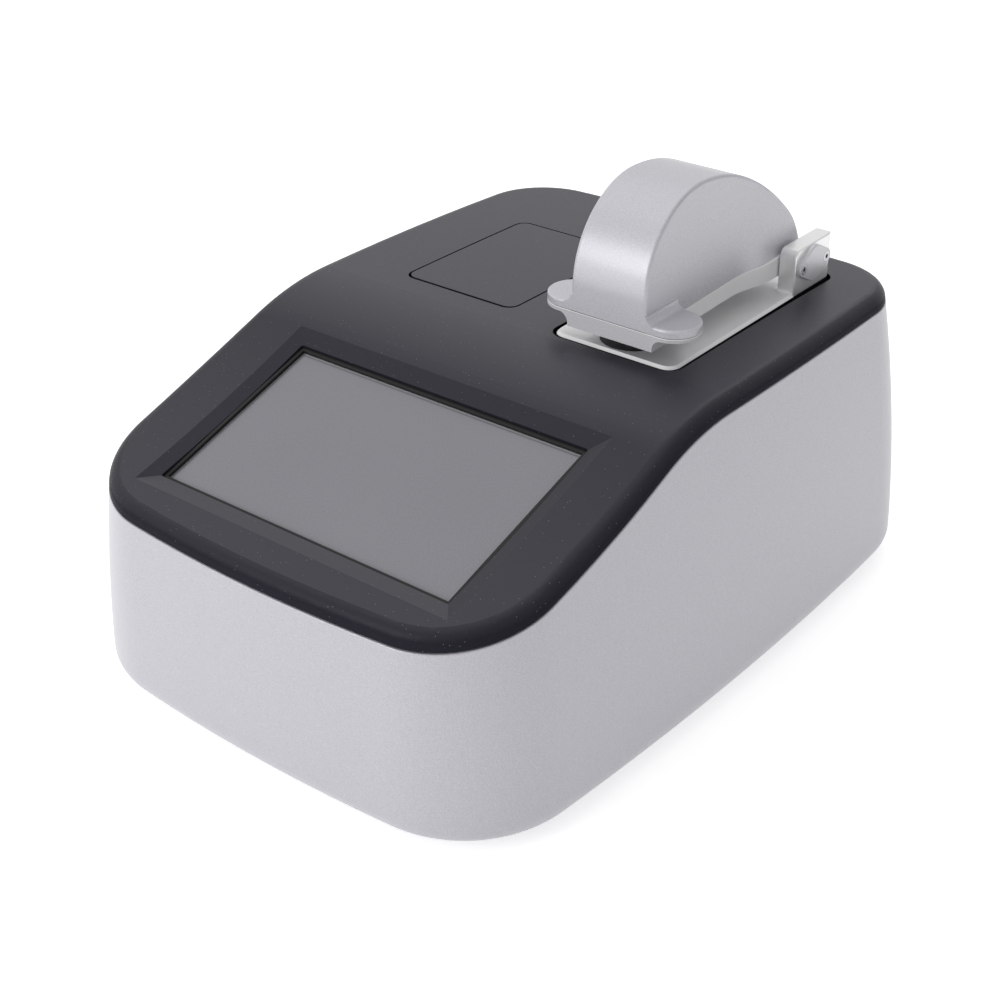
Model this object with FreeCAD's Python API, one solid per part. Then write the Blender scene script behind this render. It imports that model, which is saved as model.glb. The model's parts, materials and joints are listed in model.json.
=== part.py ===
import FreeCAD, Part
import math
import os

V = FreeCAD.Vector
os.makedirs("parts", exist_ok=True)

# Driving dimensions, in millimetres and degrees.
# X runs to the right of the instrument, Y to its rear, Z up from the bench.

# Housing, seen from above: four long bows joined by four corner arcs
body_width = 254.0
body_depth = 345.0
front_bow_radius = 860.0
side_bow_radius = 1789.0
rear_bow_radius = 1276.0
front_corner_radius = 54.5
rear_corner_radius = 49.8
widest_at = 32.0
draft = 0.022
barrel = 0.00064
foot_height = 3.0
bottom_round = 12.0
wall = 3.0
floor_thickness = 5.0

# Seam between shell and cover, seen from the side: hollow slope, knee, long crown
rear_seam_height = 133.3
knee_end = -3.5
knee_radius = 125.0
knee_angle = 21.0
hollow_radius = 900.0
crown_radius = 5200.0
seam_gap = 0.8
rim_round = 0.6

# Top cover
cover_rise = 7.0
cover_round = 6.5
cover_thickness = 3.0
lip_thickness = 1.5
lip_depth = 4.0
lip_gap = 0.3

# Screen
screen_centre_x = 2.0
screen_centre_y = -97.5
window_width = 156.0
window_height = 90.4
window_corner = 1.0
bezel_width = 6.6
bezel_sink = 2.2
pad_margin_x = 16.0
pad_margin_v = 14.0
glass_sink = 5.0
glass_margin = 4.0
glass_thickness = 1.8
module_thickness = 6.5
module_margin = 4.5
bracket_sheet = 2.0
bracket_gap = 0.5
bracket_tab = 8.0
display_screw_inset = 5.0

# Bottom plate and feet
plate_inset = 16.0
bottom_opening_inset = 24.0
plate_thickness = 2.0
plate_gap = 0.3
foot_radius = 10.0
foot_inset_x = 47.0
foot_inset_y = 50.5
foot_overlap = 2.0
vent_length = 36.0
vent_width = 3.0
vent_pitch = 8.0
vent_count = 7

# Sample plate with the hinge uprights
arm_x = 50.5
sample_plate_width = 62.0
sample_plate_front = 0.9
sample_plate_rear = 132.0
sample_plate_top = 141.0
sample_plate_thickness = 6.0
sample_plate_corner = 6.0
sample_plate_chamfer = 1.2
recess_gap = 1.2
upright_front = 97.5
upright_top = 161.0
upright_thickness = 8.5
upright_round = 4.0
upright_edge = 0.7
upright_foot_round = 2.0

# Hinge of the arm
hinge_y = 111.5
hinge_z = 152.2
shaft_radius = 3.0
shaft_clearance = 0.03
bush_thickness = 1.0
bush_length = 8.0
knuckle_radius = 5.5
arm_side_gap = 0.5
cap_radius = 8.2
cap_lobe_radius = 3.6
cap_lobe_offset = 9.9
cap_thickness = 2.2

# Pedestals
pedestal_y = 17.5
seat_radius = 14.0
seat_gap = 0.3
seat_depth = 1.2
pedestal_radius = 4.0
pedestal_clearance = 0.05
lower_pedestal_top = 143.2
sample_gap = 1.0
fibre_radius = 0.6
fibre_length = 12.0

# Swing arm
arm_front = -0.5
head_half_width = 21.5
head_bottom = 146.7
arm_seam = 154.5
arm_seam_rise = 2.6
cover_x = 49.6
arm_half_width = 19.1
ear_radius = 11.7
ear_offset = 25.3
beam_ear_thickness = 2.0
beam_rim_chamfer = 0.4
cover_ear_thickness = 3.5
ear_blend = 3.5
cove_radius = 4.5
flare_start = 66.0
flare_end = 92.0
beam_bow = 1.0
dome_front_radius = 40.5
dome_rear_arcs = ((81.4, 22.8), (116.5, 23.2), (27.8, 44.0))
dome_top = 207.0
dome_taper = 1.5
dome_wall = 2.2
dome_round = 1.5

# Cuvette hatch
lid_x0 = -71.0
lid_x1 = -9.5
lid_y0 = 10.5
lid_y1 = 97.0
lid_corner = 5.0
lid_gap = 0.9
lid_front_gap = 1.5
lid_thickness = 2.5
lid_bead = 1.4
lid_axis_inset = 5.0
lid_pin_radius = 0.7
lid_pin_clearance = 0.05
collar_thickness = 2.5
collar_depth = 9.0
bay_depth = 18.0
bay_wall = 2.0

# Cuvette holder
cuvette_x = -40.0
cuvette_y = 54.0
well_size = 12.8
well_depth = 37.0
holder_size = 30.0
holder_height = 44.0
holder_top = 126.0
beam_port_radius = 3.0
barrel_radius = 7.0
barrel_length = 22.0

# Optics deck and what it carries
deck_thickness = 6.0
deck_margin_x = 16.0
deck_margin_y = 6.0
deck_corner = 8.0
leg_radius = 6.0
leg_inset = 8.0
rear_leg_y = 104.0
actuator_size = 24.0
actuator_height = 28.0
actuator_gap = 8.0
link_radius = 2.0
ferrule_radius = 4.0
ferrule_length = 8.0
spectrometer_width = 64.0
spectrometer_depth = 70.0
spectrometer_bottom = 18.0
spectrometer_height = 40.0

# Circuit boards
board_thickness = 1.6
board_height = 14.0
board_gap = 10.0
main_board_inset = 25.0
main_board_size = (94.0, 136.0)
power_board_inset = 29.0
power_board_behind = 40.5
power_board_size = (72.0, 56.0)
standoff_radius = 3.0
board_screw_inset = 5.0

# Rear panel and sockets
panel_half_width = 60.0
panel_z0 = 26.0
panel_z1 = 72.0
panel_recess = 12.5
panel_thickness = 2.0
panel_gap = 0.25
panel_ledge = 6.0
socket_z = 49.0
jack_x = -42.0
jack_radius = 5.5
jack_bore = 2.8
jack_pin = 1.0
switch_x = -18.0
switch_width = 21.0
switch_height = 15.0
rocker_width = 11.0
rocker_radius = 8.5
rocker_tilt = 6.0
rocker_gap = 0.3
rocker_depth = 3.0
usb_x = (8.0, 26.0)
usb_width = 13.2
usb_height = 5.8
usb_wall = 0.5
usb_depth = 14.0
network_x = 45.0
network_width = 16.0
network_height = 13.5
network_opening = (11.8, 8.0)
network_depth = 16.0

# Small screws
screw_head_radius = 2.6
screw_head_height = 1.6
screw_radius = 1.5
screw_clearance = 0.1
hex_across_flats = 2.0
socket_depth = 0.9


# General shapes

def block(x0, x1, y0, y1, z0, z1):
    return Part.makeBox(x1 - x0, y1 - y0, z1 - z0, V(x0, y0, z0))


def rod(x, y, z0, z1, radius):
    return Part.makeCylinder(radius, z1 - z0, V(x, y, z0))


def rod_x(x0, x1, y, z, radius):
    return Part.makeCylinder(radius, x1 - x0, V(x0, y, z), V(1, 0, 0))


def rod_y(x, y0, y1, z, radius):
    return Part.makeCylinder(radius, y1 - y0, V(x, y0, z), V(0, 1, 0))


def hexagon(base, along):
    """A hexagon key's recess, standing on base and running along a vector."""
    radius = hex_across_flats / math.sqrt(3)
    corners = []
    for step in range(7):
        angle = math.radians(60 * step)
        corners.append(V(radius * math.cos(angle), radius * math.sin(angle), 0))
    prism = Part.Face(Part.makePolygon(corners)).extrude(V(0, 0, along.Length))
    prism.Placement = FreeCAD.Placement(base, FreeCAD.Rotation(V(0, 0, 1), along))
    return prism


def edges_where(shape, test):
    return [edge for edge in shape.Edges if test(edge)]


def is_vertical(edge):
    first, last = edge.Vertexes[0].Point, edge.Vertexes[-1].Point
    return abs(first.x - last.x) < 1e-6 and abs(first.y - last.y) < 1e-6 and abs(first.z - last.z) > 1e-6


def slab(x0, x1, y0, y1, z0, z1, radius):
    shape = block(x0, x1, y0, y1, z0, z1)
    return shape.makeFillet(radius, edges_where(shape, is_vertical))


def fused(shapes):
    result = shapes[0]
    for shape in shapes[1:]:
        result = result.fuse(shape)
    return result.removeSplitter()


def cut_all(shape, tools):
    return shape.cut(tools)


def group(shapes):
    return Part.makeCompound(shapes)


def save(name, shape):
    solids = shape.Solids
    if len(solids) == 1:
        shape = solids[0]
    shape.exportStep("parts/" + name + ".step")
    print(name, len(solids), "valid" if shape.isValid() else "NOT VALID", round(shape.Volume))


def circle_through(centre, radius, start, end, height):
    circle = Part.Circle(V(centre[0], centre[1], height), V(0, 0, 1), radius)
    return Part.Arc(circle, start, end).toShape()


# Housing outline and its top surfaces

def corner_centre(end_centre, end_radius, radius, sign):
    """Centre of the corner arc that touches an end bow and the right side bow from inside."""
    side = (body_width / 2 - side_bow_radius, widest_at)
    reach_end = end_radius - radius
    reach_side = side_bow_radius - radius
    dx, dy = side[0] - end_centre[0], side[1] - end_centre[1]
    apart = math.hypot(dx, dy)
    along = (reach_end ** 2 - reach_side ** 2 + apart ** 2) / (2 * apart)
    off = math.sqrt(reach_end ** 2 - along ** 2)
    ux, uy = dx / apart, dy / apart
    both = []
    for turn in (-1, 1):
        x = end_centre[0] + ux * along - uy * off * turn
        y = end_centre[1] + uy * along + ux * off * turn
        both.append((x, y))
    return max(both, key=lambda point: point[0] + sign * point[1])


def outline_wire(inset, height):
    front = (0.0, -body_depth / 2 + front_bow_radius)
    rear = (0.0, body_depth / 2 - rear_bow_radius)
    side = (body_width / 2 - side_bow_radius, widest_at)
    corner_f = corner_centre(front, front_bow_radius, front_corner_radius, -1)
    corner_r = corner_centre(rear, rear_bow_radius, rear_corner_radius, 1)
    angle_a = math.atan2(corner_f[1] - front[1], corner_f[0] - front[0])
    angle_b = math.atan2(corner_f[1] - side[1], corner_f[0] - side[0])
    angle_c = math.atan2(corner_r[1] - side[1], corner_r[0] - side[0])
    angle_d = math.atan2(corner_r[1] - rear[1], corner_r[0] - rear[0])
    mirrored = math.pi
    pieces = [
        (front, front_bow_radius, -mirrored - angle_a, angle_a),
        (corner_f, front_corner_radius, angle_a, angle_b),
        (side, side_bow_radius, angle_b, angle_c),
        (corner_r, rear_corner_radius, angle_c, angle_d),
        (rear, rear_bow_radius, angle_d, mirrored - angle_d),
        ((-corner_r[0], corner_r[1]), rear_corner_radius, mirrored - angle_d, mirrored - angle_c),
        ((-side[0], side[1]), side_bow_radius, mirrored - angle_c, mirrored - angle_b),
        ((-corner_f[0], corner_f[1]), front_corner_radius, mirrored - angle_b, mirrored - angle_a),
    ]
    arcs = [circle_through(c, radius - inset, a, b, height) for c, radius, a, b in pieces]
    return Part.Wire(arcs)


def wall_inset(height):
    above = height - foot_height
    return draft * above + barrel * above ** 2


def column(extra_inset, z0, z1):
    """The drafted and barrelled housing between two heights, pulled in by extra_inset."""
    steps = 4
    wires = []
    for step in range(steps):
        height = z0 + (z1 - z0) * step / (steps - 1)
        wires.append(outline_wire(wall_inset(height) + extra_inset, height))
    return Part.makeLoft(wires, True, False)


knee_rad = math.radians(knee_angle)
knee_start = (knee_end - knee_radius * math.sin(knee_rad),
              rear_seam_height - knee_radius * (1 - math.cos(knee_rad)))
hollow_centre = (knee_start[0] - hollow_radius * math.sin(knee_rad),
                 knee_start[1] + hollow_radius * math.cos(knee_rad))


def under(rise, depth):
    """Everything under the seam curve, lifted by rise and then sunk square to itself by depth."""
    reach = body_depth / 2 + 20.0
    half = body_width

    def on_arc(centre, radius, angle):
        return V(-half, centre[0] + radius * math.cos(angle), centre[1] + rise + radius * math.sin(angle))

    knee_centre = (knee_end, rear_seam_height - knee_radius)
    crown_centre = (knee_end, rear_seam_height - crown_radius)
    r_hollow = hollow_radius + depth
    r_knee = knee_radius - depth
    r_crown = crown_radius - depth
    a_front = -math.acos((-reach - hollow_centre[0]) / r_hollow)
    a_join = -math.pi / 2 + knee_rad
    a_knee = math.pi / 2 + knee_rad
    a_top = math.pi / 2
    a_rear = math.acos((reach - knee_end) / r_crown)
    front = on_arc(hollow_centre, r_hollow, a_front)
    join = on_arc(hollow_centre, r_hollow, a_join)
    top = on_arc(knee_centre, r_knee, a_top)
    rear = on_arc(crown_centre, r_crown, a_rear)
    edges = [
        Part.Arc(front, on_arc(hollow_centre, r_hollow, (a_front + a_join) / 2), join).toShape(),
        Part.Arc(join, on_arc(knee_centre, r_knee, (a_knee + a_top) / 2), top).toShape(),
        Part.Arc(top, on_arc(crown_centre, r_crown, (a_top + a_rear) / 2), rear).toShape(),
        Part.LineSegment(rear, V(-half, reach, -half)).toShape(),
        Part.LineSegment(V(-half, reach, -half), V(-half, -reach, -half)).toShape(),
        Part.LineSegment(V(-half, -reach, -half), front).toShape(),
    ]
    return Part.Face(Part.Wire(edges)).extrude(V(2 * half, 0, 0))


def top_height(y, rise, depth):
    """Height of the same curve at one place along Y."""
    if y < knee_start[0]:
        drop = math.sqrt((hollow_radius + depth) ** 2 - (y - hollow_centre[0]) ** 2)
        return hollow_centre[1] + rise - drop
    radius = crown_radius
    if y < knee_end:
        radius = knee_radius
    lift = math.sqrt((radius - depth) ** 2 - (y - knee_end) ** 2)
    return rear_seam_height - radius + rise + lift


def is_rim(rise, depth):
    def test(edge):
        if edge.Curve.TypeId == "Part::GeomLine":
            return False
        middle = edge.valueAt((edge.FirstParameter + edge.LastParameter) / 2)
        return abs(middle.z - top_height(middle.y, rise, depth)) < 0.05
    return test


tall = rear_seam_height + cover_rise + 10.0


def housing(extra_inset, depth, rim_round, z0):
    """The whole outer form down to z0, with its rim under the cover's top rounded."""
    body = column(extra_inset, z0, tall).common(under(cover_rise, depth))
    return body.makeFillet(rim_round, edges_where(body, is_rim(cover_rise, depth)))


def is_bottom(height):
    def test(edge):
        return all(abs(vertex.Z - height) < 1e-6 for vertex in edge.Vertexes)
    return test


# Housing pieces

panel_seat = body_depth / 2 - panel_recess
pocket_x = panel_half_width + panel_gap
pocket_z0 = panel_z0 - panel_gap
pocket_z1 = panel_z1 + panel_gap


def make_lower_shell(outer):
    body = outer.common(under(-seam_gap / 2, 0))
    body = body.makeFillet(bottom_round, edges_where(body, is_bottom(foot_height)))
    body = body.makeFillet(rim_round, edges_where(body, is_rim(-seam_gap / 2, 0)))
    floor_top = foot_height + floor_thickness
    cavity = column(wall, floor_top, tall)
    cavity = cavity.makeFillet(bottom_round - wall, edges_where(cavity, is_bottom(floor_top)))
    pocket = block(-pocket_x - wall, pocket_x + wall, panel_seat - wall, body_depth / 2,
                   pocket_z0 - wall, pocket_z1 + wall).common(body)
    opening = column(bottom_opening_inset, 0, floor_top + 1)
    rebate = column(plate_inset, 0, foot_height + plate_thickness + plate_gap)
    space = block(-pocket_x, pocket_x, panel_seat, body_depth, pocket_z0, pocket_z1)
    window = block(-pocket_x + panel_ledge, pocket_x - panel_ledge, 0, body_depth,
                   pocket_z0 + panel_ledge, pocket_z1 - panel_ledge)
    holes = [rod_y(x, 0, body_depth, z, screw_radius + screw_clearance) for x, z in panel_screw_places()]
    shell = body.cut(cavity).fuse(pocket)
    return cut_all(shell, [opening, rebate, space, window] + holes + base_screw_holes(screw_radius))


slope_sin = (screen_centre_y - hollow_centre[0]) / hollow_radius
screen_slope = math.degrees(math.asin(slope_sin))
hollow_sag = window_height ** 2 / (8 * hollow_radius)
screen_placement = FreeCAD.Placement(
    V(screen_centre_x, screen_centre_y - hollow_sag * slope_sin,
      top_height(screen_centre_y, cover_rise, 0) + hollow_sag * math.cos(math.radians(screen_slope))),
    FreeCAD.Rotation(V(1, 0, 0), screen_slope))


def on_screen(shape):
    """Places a shape drawn flat, X across, Y up the slope and Z out of the screen."""
    shape.Placement = screen_placement
    return shape


def bezel_tool():
    """Four chamfers round the window that follow the hollow slope of the cover."""
    above = 3.0
    run = bezel_width / bezel_sink
    half_x = window_width / 2
    half_v = window_height / 2
    surface = -hollow_sag
    low, high = surface - bezel_sink, surface + above
    wide = half_x + run * (above + bezel_sink)
    across = Part.makePolygon([V(-half_x, 0, low), V(half_x, 0, low), V(wide, 0, high),
                               V(-wide, 0, high), V(-half_x, 0, low)])
    axis = V(0, 0, surface + hollow_radius)
    swing = math.degrees(window_height / hollow_radius)
    face = Part.Face(across)
    face.rotate(axis, V(1, 0, 0), -swing)
    sides = face.revolve(axis, V(1, 0, 0), 2 * swing)
    deep = -2 * glass_sink
    short = half_v + run * (deep + bezel_sink)
    far = half_v + run * (above + bezel_sink)
    along = Part.makePolygon([V(-body_width, -short, deep), V(-body_width, short, deep),
                              V(-body_width, far, above), V(-body_width, -far, above),
                              V(-body_width, -short, deep)])
    ends = Part.Face(along).extrude(V(2 * body_width, 0, 0))
    return on_screen(sides.common(ends))


def display_screw_places():
    x = window_width / 2 + pad_margin_x - display_screw_inset
    v = window_height / 2 - display_screw_inset
    return [(x, v), (-x, v), (-x, -v), (x, -v)]


def hatch_prism(grow, front_grow, z0, z1):
    return slab(lid_x0 - grow, lid_x1 + grow, lid_y0 - front_grow, lid_y1 + grow, z0, z1,
                lid_corner + grow)


def lid_axis():
    y = lid_y1 - lid_axis_inset
    return y, top_height(y, cover_rise, 0) - lid_bead


def sample_recess(gap, z0, z1):
    half = sample_plate_width / 2 + gap
    return slab(arm_x - half, arm_x + half, sample_plate_front - gap, sample_plate_rear + gap,
                z0, z1, sample_plate_corner + gap)


def make_top_cover(outer):
    side = wall + lip_gap + lip_thickness
    skin = outer.cut(housing(side, cover_thickness, cover_round - cover_thickness, foot_height))
    skin = skin.cut(under(seam_gap / 2, 0))
    lip = column(wall + lip_gap, foot_height, tall).cut(column(side, foot_height, tall))
    lip = lip.common(under(cover_rise - cover_thickness, 0)).cut(under(-lip_depth, 0))
    pad_x = window_width / 2 + pad_margin_x
    pad_v = window_height / 2 + pad_margin_v
    pad = on_screen(block(-pad_x, pad_x, -pad_v, pad_v, -glass_sink, glass_sink)).common(outer)
    top = rear_seam_height + cover_rise
    collar = hatch_prism(lid_gap + collar_thickness, lid_front_gap + collar_thickness,
                         top - collar_depth, top).common(under(cover_rise, cover_thickness / 2))
    cover = skin.fuse([lip, pad, collar])
    window = on_screen(slab(-window_width / 2, window_width / 2, -window_height / 2, window_height / 2,
                            -2 * glass_sink, 2 * glass_sink, window_corner))
    pin_y, pin_z = lid_axis()
    tools = [
        bezel_tool(), window,
        hatch_prism(lid_gap, lid_front_gap, 0, tall),
        sample_recess(recess_gap, 0, tall),
        rod_x(lid_x0 - lid_gap - collar_thickness, lid_x1 + lid_gap + collar_thickness,
              pin_y, pin_z, lid_pin_radius),
    ]
    for x, v in display_screw_places():
        tools.append(on_screen(rod(x, v, -2 * glass_sink, -glass_sink / 2, screw_radius)))
    return cover.cut(tools)


def base_screw_places():
    reach = (plate_inset + bottom_opening_inset) / 2
    side = body_width / 2 - reach
    end = body_depth / 2 - reach
    return [(side, -80), (side, 32), (side - 4, 118), (-side, -80), (-side, 32), (4 - side, 118),
            (-42, -end), (42, -end), (-42, end), (42, end)]


def base_screw_holes(radius):
    top = foot_height + floor_thickness
    return [rod(x, y, 0, top, radius + screw_clearance) for x, y in base_screw_places()]


def plate_top():
    return foot_height + plate_thickness


def feet_places():
    foot_x = body_width / 2 - foot_inset_x
    foot_y = body_depth / 2 - foot_inset_y
    return [(x, y) for x in (-foot_x, foot_x) for y in (-foot_y, foot_y)]


def make_base_plate():
    plate = column(plate_inset + plate_gap, foot_height, plate_top())
    slots = []
    for row in range(vent_count):
        y = (row - (vent_count - 1) / 2) * vent_pitch
        slots.append(slab(-vent_length - 12, -12, y - vent_width / 2, y + vent_width / 2,
                          0, plate_top() + 1, vent_width / 2 - 0.01))
        slots.append(slab(12, vent_length + 12, y - vent_width / 2, y + vent_width / 2,
                          0, plate_top() + 1, vent_width / 2 - 0.01))
    feet = [rod(x, y, 0, plate_top() + 1, foot_radius - foot_overlap) for x, y in feet_places()]
    return cut_all(plate, slots + feet + base_screw_holes(screw_radius))


def make_feet():
    feet = []
    for x, y in feet_places():
        pad = rod(x, y, 0, foot_height, foot_radius)
        pad = pad.makeFillet(1.0, edges_where(pad, is_bottom(0)))
        plug = rod(x, y, foot_height, plate_top() + 1.5, foot_radius - foot_overlap)
        rim = rod(x, y, plate_top(), plate_top() + 1.5, foot_radius)
        feet.append(fused([pad, plug, rim]))
    return group(feet)


def screw(x, y, seat, up, length, radius=screw_radius, head=screw_head_radius):
    """A round-headed screw on a vertical axis, its head on the far side of the seat from its shank."""
    height = screw_head_height
    if up:
        solid = rod(x, y, seat - height, seat, head).fuse(rod(x, y, seat, seat + length, radius))
        drive = hexagon(V(x, y, seat - height), V(0, 0, socket_depth))
    else:
        solid = rod(x, y, seat, seat + height, head).fuse(rod(x, y, seat - length, seat, radius))
        drive = hexagon(V(x, y, seat + height), V(0, 0, -socket_depth))
    return solid.removeSplitter().cut(drive)


def make_base_screws():
    return group([screw(x, y, foot_height, True, floor_thickness - 0.5) for x, y in base_screw_places()])


# Screen pieces

def make_touch_glass():
    x = window_width / 2 + glass_margin
    v = window_height / 2 + glass_margin
    return on_screen(slab(-x, x, -v, v, -glass_sink - glass_thickness, -glass_sink, 2.0))


module_top = -glass_sink - glass_thickness
module_bottom = module_top - module_thickness
module_half_x = window_width / 2 + module_margin
module_half_v = window_height / 2 + module_margin


def make_display_module():
    body = block(-module_half_x, module_half_x, -module_half_v, module_half_v, module_bottom, module_top)
    ribbon = block(-15, 15, -module_half_v - 4, -module_half_v, module_bottom, module_bottom + 1)
    return on_screen(fused([body, ribbon]))


def make_display_bracket():
    half_x = module_half_x + bracket_gap
    low = module_bottom - bracket_sheet
    shapes = [block(-half_x, half_x, -module_half_v, module_half_v, low, module_bottom)]
    for side in (-1, 1):
        x0, x1 = sorted((side * half_x, side * (half_x + bracket_sheet)))
        shapes.append(block(x0, x1, -module_half_v, module_half_v, low, -glass_sink))
        x0, x1 = sorted((side * half_x, side * (half_x + bracket_sheet + bracket_tab)))
        shapes.append(block(x0, x1, -module_half_v, module_half_v, -glass_sink - bracket_sheet, -glass_sink))
    bracket = fused(shapes)
    holes = [rod(x, v, low, 0, screw_radius + screw_clearance) for x, v in display_screw_places()]
    for x in (-40, 0, 40):
        holes.append(slab(x - 14, x + 14, -30, 30, low - 1, module_bottom + 1, 4.0))
    return on_screen(cut_all(bracket, holes))


def make_display_screws():
    seat = -glass_sink - bracket_sheet
    screws = [screw(x, v, seat, True, bracket_sheet + 1.5) for x, v in display_screw_places()]
    return on_screen(group(screws))


# Sample plate, hinge and pedestals

def upright_x(side):
    outer = arm_x + side * sample_plate_width / 2
    inner = outer - side * upright_thickness
    return sorted((outer, inner))


def make_sample_plate():
    half = sample_plate_width / 2
    bottom = sample_plate_top - sample_plate_thickness
    plate = sample_recess(0, bottom, sample_plate_top)
    shapes = [plate.makeChamfer(sample_plate_chamfer, edges_where(plate, is_bottom(sample_plate_top)))]
    for side in (-1, 1):
        x0, x1 = upright_x(side)
        wall_block = block(x0, x1, upright_front, sample_plate_rear, bottom, upright_top)
        tops = edges_where(wall_block, lambda e: abs(e.CenterOfMass.z - upright_top) < 1e-6
                           and abs(e.CenterOfMass.x - (x0 + x1) / 2) < 1e-6)
        wall_block = wall_block.makeFillet(upright_round, tops)
        upright = wall_block.common(sample_recess(0, bottom, upright_top)).removeSplitter()
        across = [e.CenterOfMass for e in edges_where(upright, lambda e: e.Curve.TypeId == "Part::GeomLine"
                                                      and abs(e.Vertexes[0].X - e.Vertexes[-1].X) > 1.0)]
        rims = edges_where(upright, lambda e: e.CenterOfMass.z > sample_plate_top + upright_foot_round
                           and all((e.CenterOfMass - c).Length > 1e-6 for c in across))
        shapes.append(upright.makeFillet(upright_edge, rims))
    plate = fused(shapes)
    feet = edges_where(plate, lambda e: abs(e.CenterOfMass.z - sample_plate_top) < 1e-6
                       and abs(e.CenterOfMass.y - upright_front) < 1e-6 and e.Length < upright_thickness + 1)
    plate = plate.makeFillet(upright_foot_round, feet)
    tools = [
        rod_x(arm_x - half, arm_x + half, hinge_y, hinge_z, shaft_radius),
        rod(arm_x, pedestal_y, sample_plate_top - seat_depth, tall, seat_radius + seat_gap),
        rod(arm_x, pedestal_y, 0, tall, pedestal_radius + pedestal_clearance),
    ]
    tools += cap_screw_tools(screw_radius)
    return cut_all(plate, tools)


def make_pedestal_seat():
    disc = rod(arm_x, pedestal_y, sample_plate_top - seat_depth, sample_plate_top, seat_radius)
    disc = disc.makeChamfer(0.3, edges_where(disc, is_bottom(sample_plate_top)))
    groove = rod(arm_x, pedestal_y, sample_plate_top - 0.4, tall, 8.0)
    groove = groove.cut(rod(arm_x, pedestal_y, 0, tall, 7.0))
    return disc.cut(groove).cut(rod(arm_x, pedestal_y, 0, tall, pedestal_radius + seat_gap))


deck_top = sample_plate_top - sample_plate_thickness
deck_bottom = deck_top - deck_thickness
collar_top = deck_bottom - actuator_gap
stem_radius = 2.5


def make_lower_pedestal():
    post = rod(arm_x, pedestal_y, deck_bottom - 2, lower_pedestal_top, pedestal_radius)
    post = post.makeFillet(0.6, edges_where(post, is_bottom(lower_pedestal_top)))
    stem = rod(arm_x, pedestal_y, collar_top - 10, deck_bottom - 2, stem_radius)
    flange = rod(arm_x, pedestal_y, collar_top + seat_gap, collar_top + 2, pedestal_radius + 2)
    post = fused([post, stem, flange])
    return post.cut(rod(arm_x, pedestal_y, lower_pedestal_top - fibre_length, tall, fibre_radius))


def make_lower_fibre():
    return rod(arm_x, pedestal_y, lower_pedestal_top - fibre_length, lower_pedestal_top, fibre_radius)


upper_face = lower_pedestal_top + sample_gap


def make_upper_pedestal():
    post = rod(arm_x, pedestal_y, upper_face, arm_seam, pedestal_radius)
    post = post.makeFillet(0.6, edges_where(post, is_bottom(upper_face)))
    shoulder = rod(arm_x, pedestal_y, head_bottom, head_bottom + 2, pedestal_radius + 2)
    post = fused([post, shoulder])
    return post.cut(rod(arm_x, pedestal_y, 0, upper_face + fibre_length, fibre_radius))


def make_upper_fibre():
    return rod(arm_x, pedestal_y, upper_face, upper_face + fibre_length - 2, fibre_radius)


def make_hinge_shaft():
    half = sample_plate_width / 2
    return rod_x(arm_x - half, arm_x + half, hinge_y, hinge_z, shaft_radius)


def arm_rear_half():
    return sample_plate_width / 2 - upright_thickness - arm_side_gap


def make_hinge_bushes():
    bushes = []
    for side in (-1, 1):
        outer = arm_x + side * arm_rear_half()
        x0, x1 = sorted((outer, outer - side * bush_length))
        sleeve = rod_x(x0, x1, hinge_y, hinge_z, shaft_radius + bush_thickness)
        bushes.append(sleeve.cut(rod_x(x0, x1, hinge_y, hinge_z, shaft_radius + shaft_clearance)))
    return group(bushes)


def cap_screw_places():
    return [hinge_y - cap_lobe_offset, hinge_y + cap_lobe_offset]


def cap_screw_tools(radius):
    half = sample_plate_width / 2
    tools = []
    for y in cap_screw_places():
        for side in (-1, 1):
            x0, x1 = sorted((arm_x + side * half, arm_x + side * (half - 6)))
            tools.append(rod_x(x0, x1, y, hinge_z, radius + screw_clearance))
    return tools


def oval_flange(x0, x1):
    """Round middle and two small lobes joined by their common tangents."""
    tilt = math.asin((cap_radius - cap_lobe_radius) / cap_lobe_offset)
    shapes = [rod_x(x0, x1, hinge_y, hinge_z, cap_radius)]
    for side in (-1, 1):
        y = hinge_y + side * cap_lobe_offset
        shapes.append(rod_x(x0, x1, y, hinge_z, cap_lobe_radius))
        points = []
        for up in (1, -1):
            ny, nz = side * math.sin(tilt), up * math.cos(tilt)
            points.append((V(x0, hinge_y + ny * cap_radius, hinge_z + nz * cap_radius),
                           V(x0, y + ny * cap_lobe_radius, hinge_z + nz * cap_lobe_radius)))
        web = Part.makePolygon([points[0][0], points[0][1], points[1][1], points[1][0], points[0][0]])
        shapes.append(Part.Face(web).extrude(V(x1 - x0, 0, 0)))
    return fused(shapes)


def make_hinge_caps():
    caps = []
    half = sample_plate_width / 2
    for side in (-1, 1):
        inner, outer = arm_x + side * half, arm_x + side * (half + cap_thickness)
        cap = oval_flange(*sorted((inner, outer)))
        rim = edges_where(cap, lambda e: all(abs(v.X - outer) < 1e-6 for v in e.Vertexes))
        cap = cap.makeChamfer(0.3, rim)
        for y in cap_screw_places():
            cap = cap.cut(rod_x(*sorted((inner, outer)), y, hinge_z, screw_radius + screw_clearance))
            seat = outer - side * screw_head_height
            far = outer + side * 1.0
            cap = cap.cut(rod_x(*sorted((seat, far)), y, hinge_z, screw_head_radius + screw_clearance))
        caps.append(cap)
    return group(caps)


def make_hinge_cap_screws():
    screws = []
    half = sample_plate_width / 2
    for side in (-1, 1):
        outer = arm_x + side * (half + cap_thickness)
        seat = outer - side * screw_head_height
        end = seat - side * 6.0
        for y in cap_screw_places():
            head = rod_x(*sorted((seat, outer)), y, hinge_z, screw_head_radius)
            shank = rod_x(*sorted((end, seat)), y, hinge_z, screw_radius)
            hole = hexagon(V(outer, y, hinge_z), V(-side * socket_depth, 0, 0))
            screws.append(head.fuse(shank).removeSplitter().cut(hole))
    return group(screws)


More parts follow.
